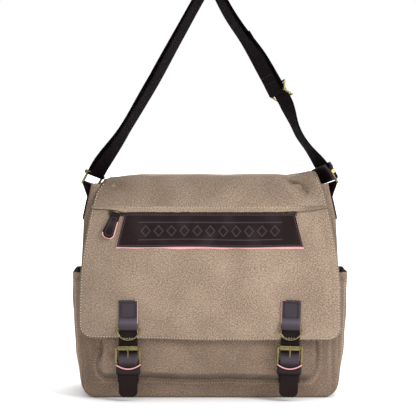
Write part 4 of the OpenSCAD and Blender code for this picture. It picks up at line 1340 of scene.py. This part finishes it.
def side_tab(side):
    """Leather tab sewn to the gusset, twisting up to fold round the ring's lower bar."""
    y = np.linspace(-1, 1, 19)
    dy = y * 17.0
    r = 2.75
    low_z = 246.0

    def ring_point(lx, lz):
        return on_run(side, lx, dy, lz - 17.0)

    def sewn(z, off):
        z = z + 5.0 * np.abs(y) ** 4 * smooth((low_z + 14 - z) / 14)
        return points(side * (half_w(z) + off), dy, z)

    def between(start, end):
        return [start + (end - start) * smooth(t) for t in np.linspace(0, 1, 10)[1:-1]]

    rows = [sewn(z, 3.4) for z in np.linspace(low_z, 278, 26)]
    rows += between(sewn(279.0, 3.4), ring_point(-r, -1.5))
    rows += [ring_point(-(r + 0.8) * cos(a), (r + 0.8) * sin(a))
             for a in np.linspace(-0.2, pi + 0.2, 20)]
    rows += between(ring_point(r, -1.5), sewn(279.0, 1.8))
    rows += [sewn(z, 1.8) for z in np.linspace(278, low_z + 2, 20)]
    grid = np.stack(rows, 0)
    out = facing(grid, (4, 9), np.array([side, 0, 0]))
    at = np.arange(len(rows))[:, None]
    # painted highlight through the leather's sheen: lighter on the fold round the ring and near the tab's
    # lower end
    shade = np.clip(1 - 0.35 * bell(at - 34, 7) - 0.15 * bell(at - 2, 3), 0, 1)
    tag = SIDES[side]
    place(slab("ring_tab_" + tag, grid, HIDE_T, DARK, out, shade=shade),
          ("bag", "carry_strap"), ["side_tab_" + tag],
          blend=((side * 172, 0, 281), (side * 171, 0, 292)))
    path = line((-13.8, 253), (-9, 249.5), (9, 249.5), (13.8, 253), (13.8, 274), (-13.8, 274),
                (-13.8, 253), step=1.0)
    p = points(side * (half_w(path[1]) + 3.5), path[0], path[1])
    stitch(p, np.tile([side * 1.0, 0, 0.1], (len(p), 1)), ("bag", "dark"), pitch=3.2, r=0.45)


for side in SIDES:
    side_tab(side)

# ---------------------------------------------------------------- thread, brass, room

COLOURS = {"cream": CREAM, "tan": TAN, "grey": BROWN, "dark": BLACK}
for (body, colour), (verts, faces, _) in threads.items():
    made = build(f"stitches_{colour}_{body}", np.vstack(verts), faces, [COLOURS[colour]])
    place(made, body)

METAL = ("buckle_frame", "d_ring", "roller", "prong", "side_ring", "ring_pin", "snap_stud", "snap_socket",
         "zip_slider", "zip_pull_link", "adjuster_frame")
for node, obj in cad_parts.items():
    if node.startswith(METAL):
        obj.data.materials.clear()
        obj.data.materials.append(BRASS)

floor = bpy.data.meshes.new("floor")
floor.from_pydata([(-6, -6, 0), (6, -6, 0), (6, 6, 0), (-6, 6, 0)], [], [(0, 1, 2, 3)])
floor = bpy.data.objects.new("floor", floor)
bpy.context.scene.collection.objects.link(floor)
pale = Nodes("floor_paper")
where = pale.add("ShaderNodeTexCoord").outputs["Object"]
parts = pale.add("ShaderNodeSeparateXYZ", {0: where})
reach = pale.math("ADD", pale.math("POWER", parts.outputs[0], 2.0), pale.math("POWER", parts.outputs[1], 2.0))
# painted light: beyond about 0.6 m from the middle the floor glows white, fading it into the white world
far = pale.math("MULTIPLY", pale.math("SUBTRACT", reach, 0.35), 0.5, clamp=True)
pale.set(Base_Color=pale.mix(pale.noise(where, 3.0), (0.93, 0.93, 0.93), (0.95, 0.95, 0.95)), Roughness=0.9,
         Emission_Strength=far)
pale.shader.inputs["Emission Color"].default_value = (1, 1, 1, 1)
floor.data.materials.append(pale.material)

scene = bpy.context.scene
scene.view_settings.view_transform = "Standard"
world = bpy.data.worlds.new("studio")
scene.world = world
world.use_nodes = True
world.node_tree.nodes["Background"].inputs["Color"].default_value = (1, 1, 1, 1)
world.node_tree.nodes["Background"].inputs["Strength"].default_value = 1.0


def aim_at(obj, target):
    obj.rotation_euler = (Vector(target) - obj.location).to_track_quat("-Z", "Y").to_euler()


def lamp(name, at, aim, size, power):
    data = bpy.data.lights.new(name, "AREA")
    data.size, data.energy = size, power
    obj = bpy.data.objects.new(name, data)
    scene.collection.objects.link(obj)
    obj.location = at
    aim_at(obj, aim)


lamp("key", (2.0, -1.2, 1.7), (0, 0, 0.2), 0.8, 46)
lamp("top", (0.3, 0.9, 2.6), (0, 0.2, 0.0), 2.0, 45)

camera = bpy.data.objects.new("camera", bpy.data.cameras.new("camera"))
scene.collection.objects.link(camera)
camera.data.lens = 137.4
camera.data.sensor_width = 36
camera.location = (-0.0026, -2.253, 0.4396)
aim_at(camera, (-0.0026, -0.06, 0.2665))
scene.camera = camera
